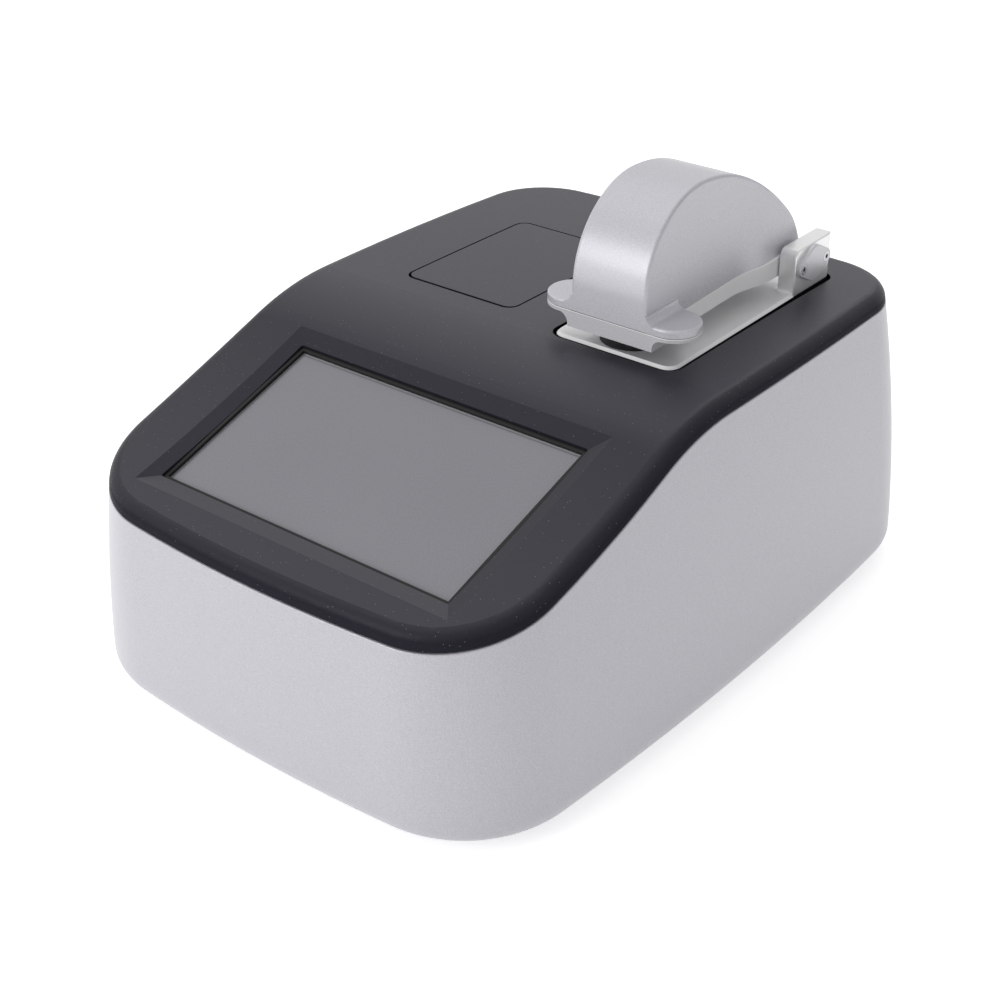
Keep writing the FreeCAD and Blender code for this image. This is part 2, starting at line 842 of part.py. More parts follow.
# Swing arm

def ear_plate(z0, z1):
    """Stadium seen from above: a straight front edge with a half-round ear at each side."""
    y0, y1 = arm_front, arm_front + 2 * ear_radius
    y = (y0 + y1) / 2
    middle = block(cover_x - ear_offset, cover_x + ear_offset, y0, y1, z0, z1)
    ends = [rod(cover_x + side * ear_offset, y, z0, z1, ear_radius) for side in (-1, 1)]
    return fused([middle] + ends)


def ear_coves(height):
    """Hollow ramps that lead from the ears up the sides of the arm's cover."""
    y0, y1 = arm_front, arm_front + 2 * ear_radius
    z0, z1 = height - 1.0, height + ear_blend
    coves = []
    for side in (-1, 1):
        inner = cover_x + side * (arm_half_width - dome_wall)
        outer = cover_x + side * (arm_half_width + ear_blend)
        ramp = block(*sorted((inner, outer)), y0, y1, z0, z1)
        coves.append(ramp.cut(rod_y(outer, y0, y1, z1, ear_blend)))
    return coves


def arm_plan(inset, share, height, front, rear):
    """Straight-sided from the front, then widening through an S bend to the hinge.

    inset narrows the whole plan, and share is how much of the widening is left."""
    middle = (flare_start + flare_end) / 2
    step = (flare_end - flare_start) / 2

    def near_half(side):
        return arm_half_width - inset + side * (cover_x - arm_x)

    def far_half(side):
        near = near_half(side)
        return near + (arm_rear_half() - inset - near) * share

    def side_edges(side):
        near = near_half(side)
        far = far_half(side)
        bulge = (far - near) / 8

        def at(off, y):
            return V(arm_x + side * off, y, height)
        bend = at((near + far) / 2, middle)
        return [
            Part.LineSegment(at(near, front), at(near, flare_start)).toShape(),
            Part.Arc(at(near, flare_start), at(near + bulge, flare_start + step / 2), bend).toShape(),
            Part.Arc(bend, at(far - bulge, flare_end - step / 2), at(far, flare_end)).toShape(),
            Part.LineSegment(at(far, flare_end), at(far, rear)).toShape(),
        ]

    def across(half, y):
        return Part.LineSegment(V(arm_x - half(-1), y, height), V(arm_x + half(1), y, height)).toShape()
    edges = Part.__sortEdges__(side_edges(1) + side_edges(-1) + [across(near_half, front), across(far_half, rear)])
    return Part.Wire(edges)


def arm_column(inset, front, rear, z0, z1):
    """The arm's plan as a tall solid whose flare fades out with height."""
    levels = [(z0, 1.0), (z0 + 16, 0.5), (z0 + 34, 0.15), (z1, 0.04)]
    lean = dome_taper / (dome_top - arm_seam)
    wires = [arm_plan(inset + lean * max(z - arm_seam, 0), share, z, front, rear) for z, share in levels]
    return Part.makeLoft(wires, True, False)


def seam_wedge(top, bottom):
    """The slab between two heights whose faces rise gently towards the hinge with the arm's seam."""
    far = sample_plate_rear
    start = arm_front + 2 * ear_radius
    points = [V(0, -far, bottom), V(0, start, bottom), V(0, hinge_y, bottom + arm_seam_rise),
              V(0, far, bottom + arm_seam_rise), V(0, far, top), V(0, -far, top), V(0, -far, bottom)]
    return Part.Face(Part.makePolygon(points)).extrude(V(body_width, 0, 0))


def arm_screw_places():
    ear_y = arm_front + ear_radius
    return [(cover_x - ear_offset, ear_y), (cover_x + ear_offset, ear_y), (arm_x - 11, 84), (arm_x + 11, 84)]


arm_screw_seat = arm_seam - beam_ear_thickness


def make_arm_beam():
    plan = Part.Face(arm_plan(0, 1.0, 0, arm_front, hinge_y)).extrude(V(0, 0, tall + 40))
    low = head_bottom
    front, rear = arm_front, hinge_y + knuckle_radius
    bow = Part.Arc(V(0, 30, low), V(0, (30 + hinge_y) / 2, low + beam_bow),
                   V(0, hinge_y, hinge_z - knuckle_radius)).toShape()
    sides = [
        Part.LineSegment(V(0, front, low), V(0, 30, low)).toShape(), bow,
        Part.LineSegment(V(0, hinge_y, hinge_z - knuckle_radius), V(0, rear, tall + 40)).toShape(),
        Part.LineSegment(V(0, rear, tall + 40), V(0, front, tall + 40)).toShape(),
        Part.LineSegment(V(0, front, tall + 40), V(0, front, low)).toShape(),
    ]
    profile = Part.Face(Part.Wire(sides)).extrude(V(body_width, 0, 0))
    bar = plan.common(profile).cut(seam_wedge(tall + 90, arm_seam))
    bar_rim = edges_where(bar, lambda e: e.CenterOfMass.z > arm_seam - 1e-6
                          and abs(e.CenterOfMass.x - arm_x) > 5)
    bar = bar.makeChamfer(beam_rim_chamfer, bar_rim)
    half = arm_rear_half()
    knuckle = rod_x(arm_x - half, arm_x + half, hinge_y, hinge_z, knuckle_radius)
    head = block(arm_x - head_half_width, arm_x + head_half_width, arm_front,
                 arm_front + 2 * ear_radius, low, arm_screw_seat)
    ears = ear_plate(arm_screw_seat, arm_seam)
    ears = ears.makeChamfer(beam_rim_chamfer, edges_where(ears, is_bottom(arm_seam)))
    head = fused([head, ears])
    coves = edges_where(head, lambda e: abs(e.CenterOfMass.z - arm_screw_seat) < 1e-6
                        and abs(abs(e.CenterOfMass.x - arm_x) - head_half_width) < 1e-3)
    head = head.makeFillet(cove_radius, coves)
    beam = fused([bar, head, knuckle])
    tools = [
        rod_x(arm_x - half, arm_x + half, hinge_y, hinge_z, shaft_radius + bush_thickness),
        rod(arm_x, pedestal_y, 0, tall + 40, pedestal_radius),
        rod(arm_x, pedestal_y, 0, head_bottom + 2, pedestal_radius + 2),
    ]
    for x, y in arm_screw_places():
        tools.append(rod(x, y, low, tall + 40, screw_radius + screw_clearance))
        tools.append(rod(x, y, 0, arm_screw_head(y), screw_head_radius + screw_clearance))
    for tool in tools:
        beam = beam.cut(tool)
    return beam


def arm_screw_head(y):
    """Height of the seat under an arm screw's head: flush in the ears, sunk in the beam."""
    if y < flare_start:
        return arm_screw_seat
    return head_bottom + beam_bow + screw_head_height + 0.5


def make_arm_screws():
    screws = []
    for x, y in arm_screw_places():
        seat = arm_screw_head(y)
        length = arm_seam + 2.0 - seat
        screws.append(screw(x, y, seat, True, length))
    return group(screws)


def dome_profile(inset, base):
    """Side view of the arm cover: upright front, round front curve, arcs flowing down to the hinge."""
    front_r = dome_front_radius - inset
    y = arm_front + dome_front_radius
    z = dome_top - dome_front_radius
    slope = front_r * math.sqrt(0.5)
    start = V(0, y - front_r, base)
    spring = V(0, y - front_r, z)
    point = V(0, y, dome_top - inset)
    edges = [
        Part.LineSegment(start, spring).toShape(),
        Part.Arc(spring, V(0, y - slope, z + slope), point).toShape(),
    ]
    turned = 0.0
    for radius, sweep in dome_rear_arcs:
        def on_arc(angle):
            angle = math.radians(angle)
            return V(0, math.sin(angle), math.cos(angle)) * (radius - inset)
        centre = point - on_arc(turned)
        end = centre + on_arc(turned + sweep)
        edges.append(Part.Arc(point, centre + on_arc(turned + sweep / 2), end).toShape())
        point = end
        turned += sweep
    foot = V(0, point.y, base)
    edges.append(Part.LineSegment(point, foot).toShape())
    edges.append(Part.LineSegment(foot, start).toShape())
    return Part.Face(Part.Wire(edges)).extrude(V(body_width, 0, 0))


def make_arm_cover():
    low = arm_seam - 4
    high = dome_top + 8
    front, rear = arm_front - 10, sample_plate_rear
    outer = arm_column(0, front, rear, low, high).common(dome_profile(0, low))
    top_edges = edges_where(outer, lambda e: e.Length > 20 and abs(abs(e.CenterOfMass.x - arm_x)
                            - arm_half_width) < 5 and e.CenterOfMass.z > arm_seam + 2
                            and e.BoundBox.ZLength > 5 and e.Curve.TypeId != "Part::GeomLine")
    outer = outer.makeFillet(dome_round, top_edges)
    ears = ear_plate(arm_seam, arm_seam + cover_ear_thickness)
    rim = edges_where(ears, is_bottom(arm_seam + cover_ear_thickness))
    ears = ears.makeFillet(1.0, rim)
    ears = fused([ears] + ear_coves(arm_seam + cover_ear_thickness))
    inner = arm_column(dome_wall, front, rear, low, high).common(dome_profile(dome_wall, low))
    body = outer.cut(seam_wedge(low - 90, arm_seam)).fuse(ears).removeSplitter()
    body = body.cut(inner)
    knuckle_room = rod_x(0, body_width, hinge_y, hinge_z, knuckle_radius + 0.3)
    tools = [knuckle_room]
    posts = []
    for x, y in arm_screw_places():
        if y > flare_start:
            post = rod(x, y, arm_seam, dome_top, screw_head_radius + 1).common(outer)
            posts.append(post.cut(seam_wedge(low - 90, arm_seam)))
        tools.append(rod(x, y, 0, arm_seam + 2.5, screw_radius))
    return cut_all(fused([body] + posts), tools)


def make_flash_lamp():
    base = arm_seam
    body = slab(arm_x - 13, arm_x + 13, pedestal_y - 10, pedestal_y + 36, base, base + 24, 2.0)
    tower = rod(arm_x, pedestal_y + 6, base + 24, base + 36, 9.0)
    return fused([body, tower]).cut(seam_wedge(base - 10, arm_seam))


# Cuvette hatch and holder

def make_cuvette_lid():
    y_pin, z_pin = lid_axis()
    plate = hatch_prism(0, 0, 0, tall).common(under(cover_rise, 0)).cut(under(cover_rise, lid_thickness))
    bead = rod_x(lid_x0, lid_x1, y_pin, z_pin, lid_bead).common(hatch_prism(0, 0, 0, tall))
    rib = block(lid_x0 + 8, lid_x1 - 8, lid_y0 + 6, lid_y1 - 12, 0, tall).common(
        under(cover_rise, lid_thickness / 2)).cut(under(cover_rise, lid_thickness + 1.2))
    rib = rib.cut(block(lid_x0 + 10, lid_x1 - 10, lid_y0 + 8, lid_y1 - 14, 0, tall))
    lid = fused([plate, bead, rib])
    return lid.cut(rod_x(lid_x0, lid_x1, y_pin, z_pin, lid_pin_radius + lid_pin_clearance))


def make_lid_pin():
    y_pin, z_pin = lid_axis()
    reach = lid_gap + collar_thickness
    return rod_x(lid_x0 - reach, lid_x1 + reach, y_pin, z_pin, lid_pin_radius)


bay_top = rear_seam_height + cover_rise - collar_depth
bay_bottom = bay_top - bay_depth


def make_cuvette_bay():
    inner = hatch_prism(lid_gap, lid_front_gap, bay_bottom + bay_wall, bay_top)
    outer = hatch_prism(lid_gap + bay_wall, lid_front_gap + bay_wall, bay_bottom, bay_top)
    half = holder_size / 2 + 0.3
    hole = block(cuvette_x - half, cuvette_x + half, cuvette_y - half, cuvette_y + half, 0, bay_top)
    return outer.cut(inner).cut(hole)


def make_cuvette_holder():
    half = holder_size / 2
    low = holder_top - holder_height
    body = slab(cuvette_x - half, cuvette_x + half, cuvette_y - half, cuvette_y + half, low, holder_top, 3.0)
    flange = block(cuvette_x - half - 5, cuvette_x + half + 5, cuvette_y - half - 5, cuvette_y + half + 5,
                   bay_bottom - 3, bay_bottom)
    well = block(cuvette_x - well_size / 2, cuvette_x + well_size / 2, cuvette_y - well_size / 2,
                 cuvette_y + well_size / 2, holder_top - well_depth, holder_top)
    port = rod_x(cuvette_x - half - 1, cuvette_x + half + 1, cuvette_y, low + 15, beam_port_radius)
    lead = well.copy()
    lead = Part.makeLoft([square_wire(well_size / 2, holder_top - 1.5),
                          square_wire(well_size / 2 + 1.5, holder_top)], True, True)
    return cut_all(fused([body, flange]), [well, port, lead])


def square_wire(half, height):
    return Part.makePolygon([V(cuvette_x - half, cuvette_y - half, height),
                             V(cuvette_x + half, cuvette_y - half, height),
                             V(cuvette_x + half, cuvette_y + half, height),
                             V(cuvette_x - half, cuvette_y + half, height),
                             V(cuvette_x - half, cuvette_y - half, height)])


def make_light_barrels():
    half = holder_size / 2
    z = holder_top - holder_height + 15
    barrels = []
    for side in (-1, 1):
        near = cuvette_x + side * half
        x0, x1 = sorted((near, near + side * barrel_length))
        tube = rod_x(x0, x1, cuvette_y, z, barrel_radius)
        barrels.append(tube.cut(rod_x(*sorted((near, near + side * (barrel_length - 4))), cuvette_y, z,
                                      beam_port_radius)))
    return group(barrels)


# Optics deck and the modules under it

def deck_box():
    half = sample_plate_width / 2 + deck_margin_x
    return (arm_x - half, arm_x + half, sample_plate_front - deck_margin_y,
            sample_plate_rear + deck_margin_y)


def leg_places():
    x0, x1, y0, _ = deck_box()
    return [(x, y) for x in (x0 + leg_inset, x1 - leg_inset) for y in (y0 + leg_inset, rear_leg_y)]


def make_optics_deck():
    x0, x1, y0, y1 = deck_box()
    deck = slab(x0, x1, y0, y1, deck_bottom, deck_top, deck_corner)
    rib_front = y0 + leg_inset + leg_radius + 2
    rib_rear = rear_leg_y - leg_radius - 2
    ribs = [block(x0 + 4, x0 + 8, rib_front, rib_rear, deck_bottom - 8, deck_bottom),
            block(x1 - 8, x1 - 4, rib_front, rib_rear, deck_bottom - 8, deck_bottom)]
    deck = fused([deck] + ribs)
    tools = [rod(arm_x, pedestal_y, 0, tall, pedestal_radius + 3),
             slab(arm_x - 16, arm_x + 16, 48, 92, 0, tall, 6.0)]
    for x, y in leg_places():
        tools.append(rod(x, y, 0, tall, screw_radius + screw_clearance))
        tools.append(rod(x, y, deck_top - screw_head_height, tall, screw_head_radius + screw_clearance))
    return cut_all(deck, tools)


def make_deck_legs():
    legs = []
    for x, y in leg_places():
        leg = rod(x, y, plate_top(), deck_bottom, leg_radius)
        legs.append(leg.cut(rod(x, y, deck_bottom - 12, deck_bottom, screw_radius + screw_clearance)))
    return group(legs)


def make_deck_screws():
    seat = deck_top - screw_head_height
    return group([screw(x, y, seat, False, deck_thickness + 6) for x, y in leg_places()])


def make_path_actuator():
    half = actuator_size / 2
    high = collar_top
    body = slab(arm_x - half, arm_x + half, pedestal_y - half, pedestal_y + half,
                high - actuator_height, high, 3.0)
    shapes = [body]
    for side in (-1, 1):
        x0, x1 = sorted((arm_x + side * half, arm_x + side * (half + 3)))
        shapes.append(block(x0, x1, pedestal_y - 8, pedestal_y + 8, high - 12, deck_bottom))
        x0, x1 = sorted((arm_x + side * half, arm_x + side * (half - 2)))
        shapes.append(block(x0, x1, pedestal_y - 8, pedestal_y + 8, high - 12, high))
    actuator = fused(shapes)
    return actuator.cut(rod(arm_x, pedestal_y, high - 14, tall, stem_radius + pedestal_clearance))


actuator_bottom = collar_top - actuator_height
spectrometer_top = spectrometer_bottom + spectrometer_height


def make_fibre_link():
    low = spectrometer_top
    high = actuator_bottom
    shapes = [rod(arm_x, pedestal_y, low, high, link_radius),
              rod(arm_x, pedestal_y, low, low + ferrule_length, ferrule_radius),
              rod(arm_x, pedestal_y, high - ferrule_length, high, ferrule_radius)]
    return fused(shapes)


def make_spectrometer():
    half = spectrometer_width / 2
    x0, x1 = arm_x - half, arm_x + half
    y0 = pedestal_y - 20
    y1 = y0 + spectrometer_depth
    body = slab(x0, x1, y0, y1, spectrometer_bottom, spectrometer_top, 4.0)
    lid_line = body.cut(slab(x0 + 0.6, x1 - 0.6, y0 + 0.6, y1 - 0.6, 0, tall, 3.4))
    lid_line = lid_line.common(block(x0, x1, y0, y1, spectrometer_top - 5, spectrometer_top - 4))
    feet = [rod(x, y, plate_top(), spectrometer_bottom, 5.0)
            for x in (x0 + 8, x1 - 8) for y in (y0 + 8, y1 - 8)]
    return fused([body.cut(lid_line)] + feet)


# Circuit boards, each as its left, right, front and rear edge

power_left = power_board_inset - body_width / 2
power_front = body_depth / 2 - power_board_behind - power_board_size[1]
power_board = (power_left, power_left + power_board_size[0], power_front, power_front + power_board_size[1])
main_left = main_board_inset - body_width / 2
main_rear = power_front - board_gap
main_board = (main_left, main_left + main_board_size[0], main_rear - main_board_size[1], main_rear)


def board_corners(board):
    x0, x1, y0, y1 = board
    inset = board_screw_inset
    return [(x, y) for x in (x0 + inset, x1 - inset) for y in (y0 + inset, y1 - inset)]


def bare_board(board):
    x0, x1, y0, y1 = board
    plate = slab(x0, x1, y0, y1, board_height, board_height + board_thickness, 3.0)
    holes = [rod(x, y, 0, tall, screw_radius + screw_clearance) for x, y in board_corners(board)]
    return cut_all(plate, holes)


def make_main_board():
    top = board_height + board_thickness
    x0, x1, y0, y1 = main_board
    parts = [bare_board(main_board),
             block(x0 + 30, x0 + 54, y0 + 40, y0 + 64, top, top + 2.2),
             block(x0 + 60, x0 + 74, y0 + 44, y0 + 58, top, top + 1.6),
             block(x0 + 12, x0 + 22, y0 + 80, y0 + 110, top, top + 6.0),
             block(x0 + 40, x0 + 70, y0 + 90, y0 + 98, top, top + 8.0),
             block(x0 + 34, x0 + 42, y0 + 16, y0 + 28, top, top + 3.0),
             rod(x0 + 70, y0 + 20, top, top + 10, 5.0)]
    return fused(parts)


def make_power_board():
    top = board_height + board_thickness
    x0, x1, y0, y1 = power_board
    parts = [bare_board(power_board),
             rod(x0 + 16, y0 + 30, top, top + 22, 8.0),
             rod(x0 + 36, y0 + 30, top, top + 22, 8.0),
             block(x0 + 48, x0 + 66, y0 + 14, y0 + 34, top, top + 16),
             block(x0 + 12, x0 + 34, y0 + 8, y0 + 16, top, top + 12)]
    return fused(parts)


def all_board_corners():
    return board_corners(main_board) + board_corners(power_board)


def make_standoffs():
    posts = []
    for x, y in all_board_corners():
        post = rod(x, y, plate_top(), board_height, standoff_radius)
        posts.append(post.cut(rod(x, y, board_height - 6, board_height, screw_radius + screw_clearance)))
    return group(posts)


def make_board_screws():
    seat = board_height + board_thickness
    return group([screw(x, y, seat, False, board_thickness + 5) for x, y in all_board_corners()])


# Rear panel and sockets

panel_face = panel_seat + panel_thickness


def switch_tool(grow):
    half_w = switch_width / 2 - 1.0 + grow
    half_h = switch_height / 2 - 1.0 + grow
    return block(switch_x - half_w, switch_x + half_w, 0, body_depth, socket_z - half_h, socket_z + half_h)


def panel_screw_places():
    x = panel_half_width - 3
    return [(side * x, z) for side in (-1, 1) for z in (panel_z0 + 3, panel_z1 - 3)]


def make_rear_panel():
    plate = block(-panel_half_width, panel_half_width, panel_seat, panel_face, panel_z0, panel_z1)
    tools = [rod_y(jack_x, 0, body_depth, socket_z, jack_radius + panel_gap), switch_tool(panel_gap)]
    for x in usb_x:
        tools.append(block(x - usb_width / 2 - panel_gap, x + usb_width / 2 + panel_gap, 0, body_depth,
                           socket_z - usb_height / 2 - panel_gap, socket_z + usb_height / 2 + panel_gap))
    tools.append(block(network_x - network_width / 2 - panel_gap, network_x + network_width / 2 + panel_gap,
                       0, body_depth, socket_z - network_height / 2 - panel_gap,
                       socket_z + network_height / 2 + panel_gap))
    tools += [rod_y(x, 0, body_depth, z, screw_radius + screw_clearance) for x, z in panel_screw_places()]
    return cut_all(plate, tools)


def make_panel_screws():
    screws = []
    for x, z in panel_screw_places():
        head = rod_y(x, panel_face, panel_face + screw_head_height, z, screw_head_radius)
        shank = rod_y(x, panel_seat - wall + 0.5, panel_face, z, screw_radius)
        drive = hexagon(V(x, panel_face + screw_head_height, z), V(0, -socket_depth, 0))
        screws.append(head.fuse(shank).removeSplitter().cut(drive))
    return group(screws)


def make_power_inlet():
    body = rod_y(jack_x, panel_seat - 14, panel_face + 1, socket_z, jack_radius)
    flange = rod_y(jack_x, panel_face, panel_face + 1, socket_z, jack_radius + 2)
    nut = rod_y(jack_x, panel_seat - 3, panel_seat, socket_z, jack_radius + 2)
    hole = rod_y(jack_x, panel_seat - 8, panel_face + 1, socket_z, jack_bore)
    pin = rod_y(jack_x, panel_seat - 8, panel_face - 1, socket_z, jack_pin)
    return fused([fused([body, flange, nut]).cut(hole), pin])


def make_switch_housing():
    half_w, half_h = switch_width / 2, switch_height / 2
    frame = block(switch_x - half_w, switch_x + half_w, panel_face, panel_face + 1.5,
                  socket_z - half_h, socket_z + half_h)
    frame = frame.makeChamfer(0.5, edges_where(frame, lambda e: abs(e.CenterOfMass.y - panel_face - 1.5) < 1e-6))
    body = switch_tool(0).common(block(-body_width, body_width, panel_seat - 14, panel_face, 0, tall))
    room_w, room_h = rocker_width / 2 + rocker_gap, rocker_radius + rocker_gap
    room = block(switch_x - room_h, switch_x + room_h, panel_seat - 8, body_depth,
                 socket_z - room_w, socket_z + room_w)
    axle = rod(switch_x, rocker_axis_y, socket_z - room_w - 1, socket_z + room_w + 1, 1.05)
    return cut_all(fused([frame, body]), [room, axle])


rocker_axis_y = panel_face - rocker_depth


def make_power_rocker():
    """A shallow V between two round ends, stored with its half at -X pressed in."""
    z0, z1 = socket_z - rocker_width / 2, socket_z + rocker_width / 2

    def at(angle, radius=rocker_radius):
        turned = math.radians(angle + rocker_tilt)
        return V(switch_x + radius * math.cos(turned), rocker_axis_y + radius * math.sin(turned), z0)
    middle = at(90, rocker_depth + 1.3)
    under_axis = at(270, rocker_depth)
    edges = [
        Part.Arc(at(-10), at(11), at(32)).toShape(),
        Part.LineSegment(at(32), middle).toShape(),
        Part.LineSegment(middle, at(148)).toShape(),
        Part.Arc(at(148), at(169), at(190)).toShape(),
        Part.LineSegment(at(190), under_axis).toShape(),
        Part.LineSegment(under_axis, at(-10)).toShape(),
    ]
    body = Part.Face(Part.Wire(edges)).extrude(V(0, 0, z1 - z0))
    axle = rod(switch_x, rocker_axis_y, z0 - 1, z1 + 1, 1.0)
    return fused([body, axle])


def make_usb_sockets():
    sockets = []
    for x in usb_x:
        half_w, half_h = usb_width / 2, usb_height / 2
        shell = block(x - half_w, x + half_w, panel_seat - usb_depth, panel_face + 0.6,
                      socket_z - half_h, socket_z + half_h)
        hole = block(x - half_w + usb_wall, x + half_w - usb_wall, panel_seat - usb_depth + 2,
                     panel_face + 1, socket_z - half_h + usb_wall, socket_z + half_h - usb_wall)
        tongue = block(x - half_w + 1.2, x + half_w - 1.2, panel_seat - usb_depth + 1, panel_face - 1,
                       socket_z + 0.2, socket_z + half_h - 0.8)
        sockets.append(fused([shell.cut(hole), tongue]))
    return group(sockets)


def make_network_socket():
    half_w, half_h = network_width / 2, network_height / 2
    shell = block(network_x - half_w, network_x + half_w, panel_seat - network_depth, panel_face + 0.6,
                  socket_z - half_h, socket_z + half_h)
    open_w, open_h = network_opening
    hole = block(network_x - open_w / 2, network_x + open_w / 2, panel_seat - network_depth + 3,
                 panel_face + 1, socket_z - open_h / 2 + 1, socket_z + open_h / 2 + 1)
    key = block(network_x - 3, network_x + 3, panel_seat - network_depth + 3, panel_face + 1,
                socket_z - open_h / 2 - 1, socket_z - open_h / 2 + 1)
    return shell.cut(hole).cut(key)


outer_form = housing(0, 0, cover_round, foot_height)
save("lower_shell", make_lower_shell(outer_form))
save("top_cover", make_top_cover(outer_form))
save("base_plate", make_base_plate())
save("rubber_feet", make_feet())
save("base_screws", make_base_screws())
save("touch_glass", make_touch_glass())
save("display_module", make_display_module())
save("display_bracket", make_display_bracket())
save("display_screws", make_display_screws())
save("sample_plate", make_sample_plate())
save("pedestal_seat", make_pedestal_seat())
save("lower_pedestal", make_lower_pedestal())
save("lower_fibre", make_lower_fibre())
save("upper_pedestal", make_upper_pedestal())
save("upper_fibre", make_upper_fibre())
save("hinge_shaft", make_hinge_shaft())
save("hinge_bushes", make_hinge_bushes())
save("hinge_caps", make_hinge_caps())
save("hinge_cap_screws", make_hinge_cap_screws())
save("arm_beam", make_arm_beam())
save("arm_cover", make_arm_cover())
save("arm_screws", make_arm_screws())
save("flash_lamp", make_flash_lamp())
save("cuvette_lid", make_cuvette_lid())
save("lid_hinge_pin", make_lid_pin())
save("cuvette_bay", make_cuvette_bay())
save("cuvette_holder", make_cuvette_holder())
save("light_barrels", make_light_barrels())
save("optics_deck", make_optics_deck())
save("deck_legs", make_deck_legs())
save("deck_screws", make_deck_screws())
save("path_actuator", make_path_actuator())
save("fibre_link", make_fibre_link())
save("spectrometer", make_spectrometer())
save("main_board", make_main_board())
save("power_board", make_power_board())
save("board_standoffs", make_standoffs())
save("board_screws", make_board_screws())
save("rear_panel", make_rear_panel())
save("panel_screws", make_panel_screws())
save("power_inlet", make_power_inlet())
save("switch_housing", make_switch_housing())
save("power_rocker", make_power_rocker())
save("usb_sockets", make_usb_sockets())
save("network_socket", make_network_socket())
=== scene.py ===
import bpy
import json
import math
from mathutils import Matrix, Vector


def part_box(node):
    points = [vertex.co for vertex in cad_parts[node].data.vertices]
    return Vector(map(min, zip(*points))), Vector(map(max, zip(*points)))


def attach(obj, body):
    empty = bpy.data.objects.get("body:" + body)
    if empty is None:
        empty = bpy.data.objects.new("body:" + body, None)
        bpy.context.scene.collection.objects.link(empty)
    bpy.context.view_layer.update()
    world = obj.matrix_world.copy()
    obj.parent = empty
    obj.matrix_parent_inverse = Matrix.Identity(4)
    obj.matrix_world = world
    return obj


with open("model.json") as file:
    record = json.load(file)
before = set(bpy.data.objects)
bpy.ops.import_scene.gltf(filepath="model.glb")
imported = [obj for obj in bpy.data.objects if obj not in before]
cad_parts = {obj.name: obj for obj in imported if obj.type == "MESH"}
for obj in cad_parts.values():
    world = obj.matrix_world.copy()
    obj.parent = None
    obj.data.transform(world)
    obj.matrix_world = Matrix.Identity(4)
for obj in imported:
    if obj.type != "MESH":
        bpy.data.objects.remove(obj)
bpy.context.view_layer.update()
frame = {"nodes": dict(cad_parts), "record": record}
nodes = frame["nodes"]
print("model loaded:", len(nodes), "nodes")


# camera, matched to the photograph by its edges and corners
cameraSettings = {
    "place": (0.42939, -0.54142, 0.45492),
    "azimuth": 38.977,
    "elevation": 30.319,
    "roll": -0.526,
    "lens": 62.756,
    "sensor": 36.0,
    "nearest": 0.01,
    "farthest": 20,
}


def makeCamera(s):
    bpy.ops.object.camera_add(location=s["place"])
    camera = bpy.context.object
    camera.name = "photoCamera"
    turn = Matrix.Rotation(math.radians(s["azimuth"]), 3, "Z")
    tip = Matrix.Rotation(math.radians(90 - s["elevation"]), 3, "X")
    lean = Matrix.Rotation(math.radians(s["roll"]), 3, "Z")
    camera.rotation_euler = (turn @ tip @ lean).to_euler()
    camera.data.lens = s["lens"]
    camera.data.sensor_width = s["sensor"]
    camera.data.clip_start = s["nearest"]
    camera.data.clip_end = s["farthest"]
    bpy.context.scene.camera = camera


makeCamera(cameraSettings)
print("camera set")


# small helpers for the node trees
rising = (0.0, 1.0)
falling = (1.0, 0.0)


def around(middle, reach):
    return middle - reach, middle + reach


def newMaterial(name):
    material = bpy.data.materials.new(name)
    material.use_nodes = True
    shader = material.node_tree.nodes["Principled BSDF"]
    return material, material.node_tree, shader


def addNode(tree, kind, **values):
    node = tree.nodes.new(kind)
    for key, value in values.items():
        if key in node.inputs:
            node.inputs[key].default_value = value
        else:
            setattr(node, key, value)
    return node


def objectCoords(tree):
    return addNode(tree, "ShaderNodeTexCoord").outputs["Object"]


def axes(tree, vector):
    node = addNode(tree, "ShaderNodeSeparateXYZ")
    tree.links.new(vector, node.inputs["Vector"])
    return node.outputs


# how far a face looks up: 0 for an upright face, 1 for a level one
def upwards(tree):
    return axes(tree, addNode(tree, "ShaderNodeNewGeometry").outputs["Normal"])["Z"]


def noise(tree, coords, scale, detail=2.0, roughness=0.5):
    node = addNode(tree, "ShaderNodeTexNoise", Scale=scale, Detail=detail, Roughness=roughness)
    tree.links.new(coords, node.inputs["Vector"])
    return node.outputs["Fac"]


# while the value crosses the band, what comes out goes from the first to the second end
def spread(tree, value, band, ends):
    node = addNode(tree, "ShaderNodeMapRange")
    for name, number in zip(("From Min", "From Max", "To Min", "To Max"), (*band, *ends)):
        node.inputs[name].default_value = number
    tree.links.new(value, node.inputs["Value"])
    return node.outputs["Result"]


def calculate(tree, operation, *values):
    node = addNode(tree, "ShaderNodeMath", operation=operation)
    for socket, value in zip(node.inputs, values):
        if isinstance(value, float):
            socket.default_value = value
        else:
            tree.links.new(value, socket)
    return node.outputs[0]


def blendColours(tree, factor, first, second):
    node = addNode(tree, "ShaderNodeMix", data_type="RGBA", blend_type="MIX")
    tree.links.new(factor, node.inputs[0])
    for socket, value in ((node.inputs[6], first), (node.inputs[7], second)):
        if isinstance(value, tuple):
            socket.default_value = (*value, 1.0)
        else:
            tree.links.new(value, socket)
    return node.outputs[2]


def bump(tree, shader, height, strength, distance):
    node = addNode(tree, "ShaderNodeBump", Strength=strength, Distance=distance)
    tree.links.new(height, node.inputs["Height"])
    tree.links.new(node.outputs["Normal"], shader.inputs["Normal"])


# what feeds one of a shader's sockets so far
def feeding(shader, name):
    return shader.inputs[name].links[0].from_socket


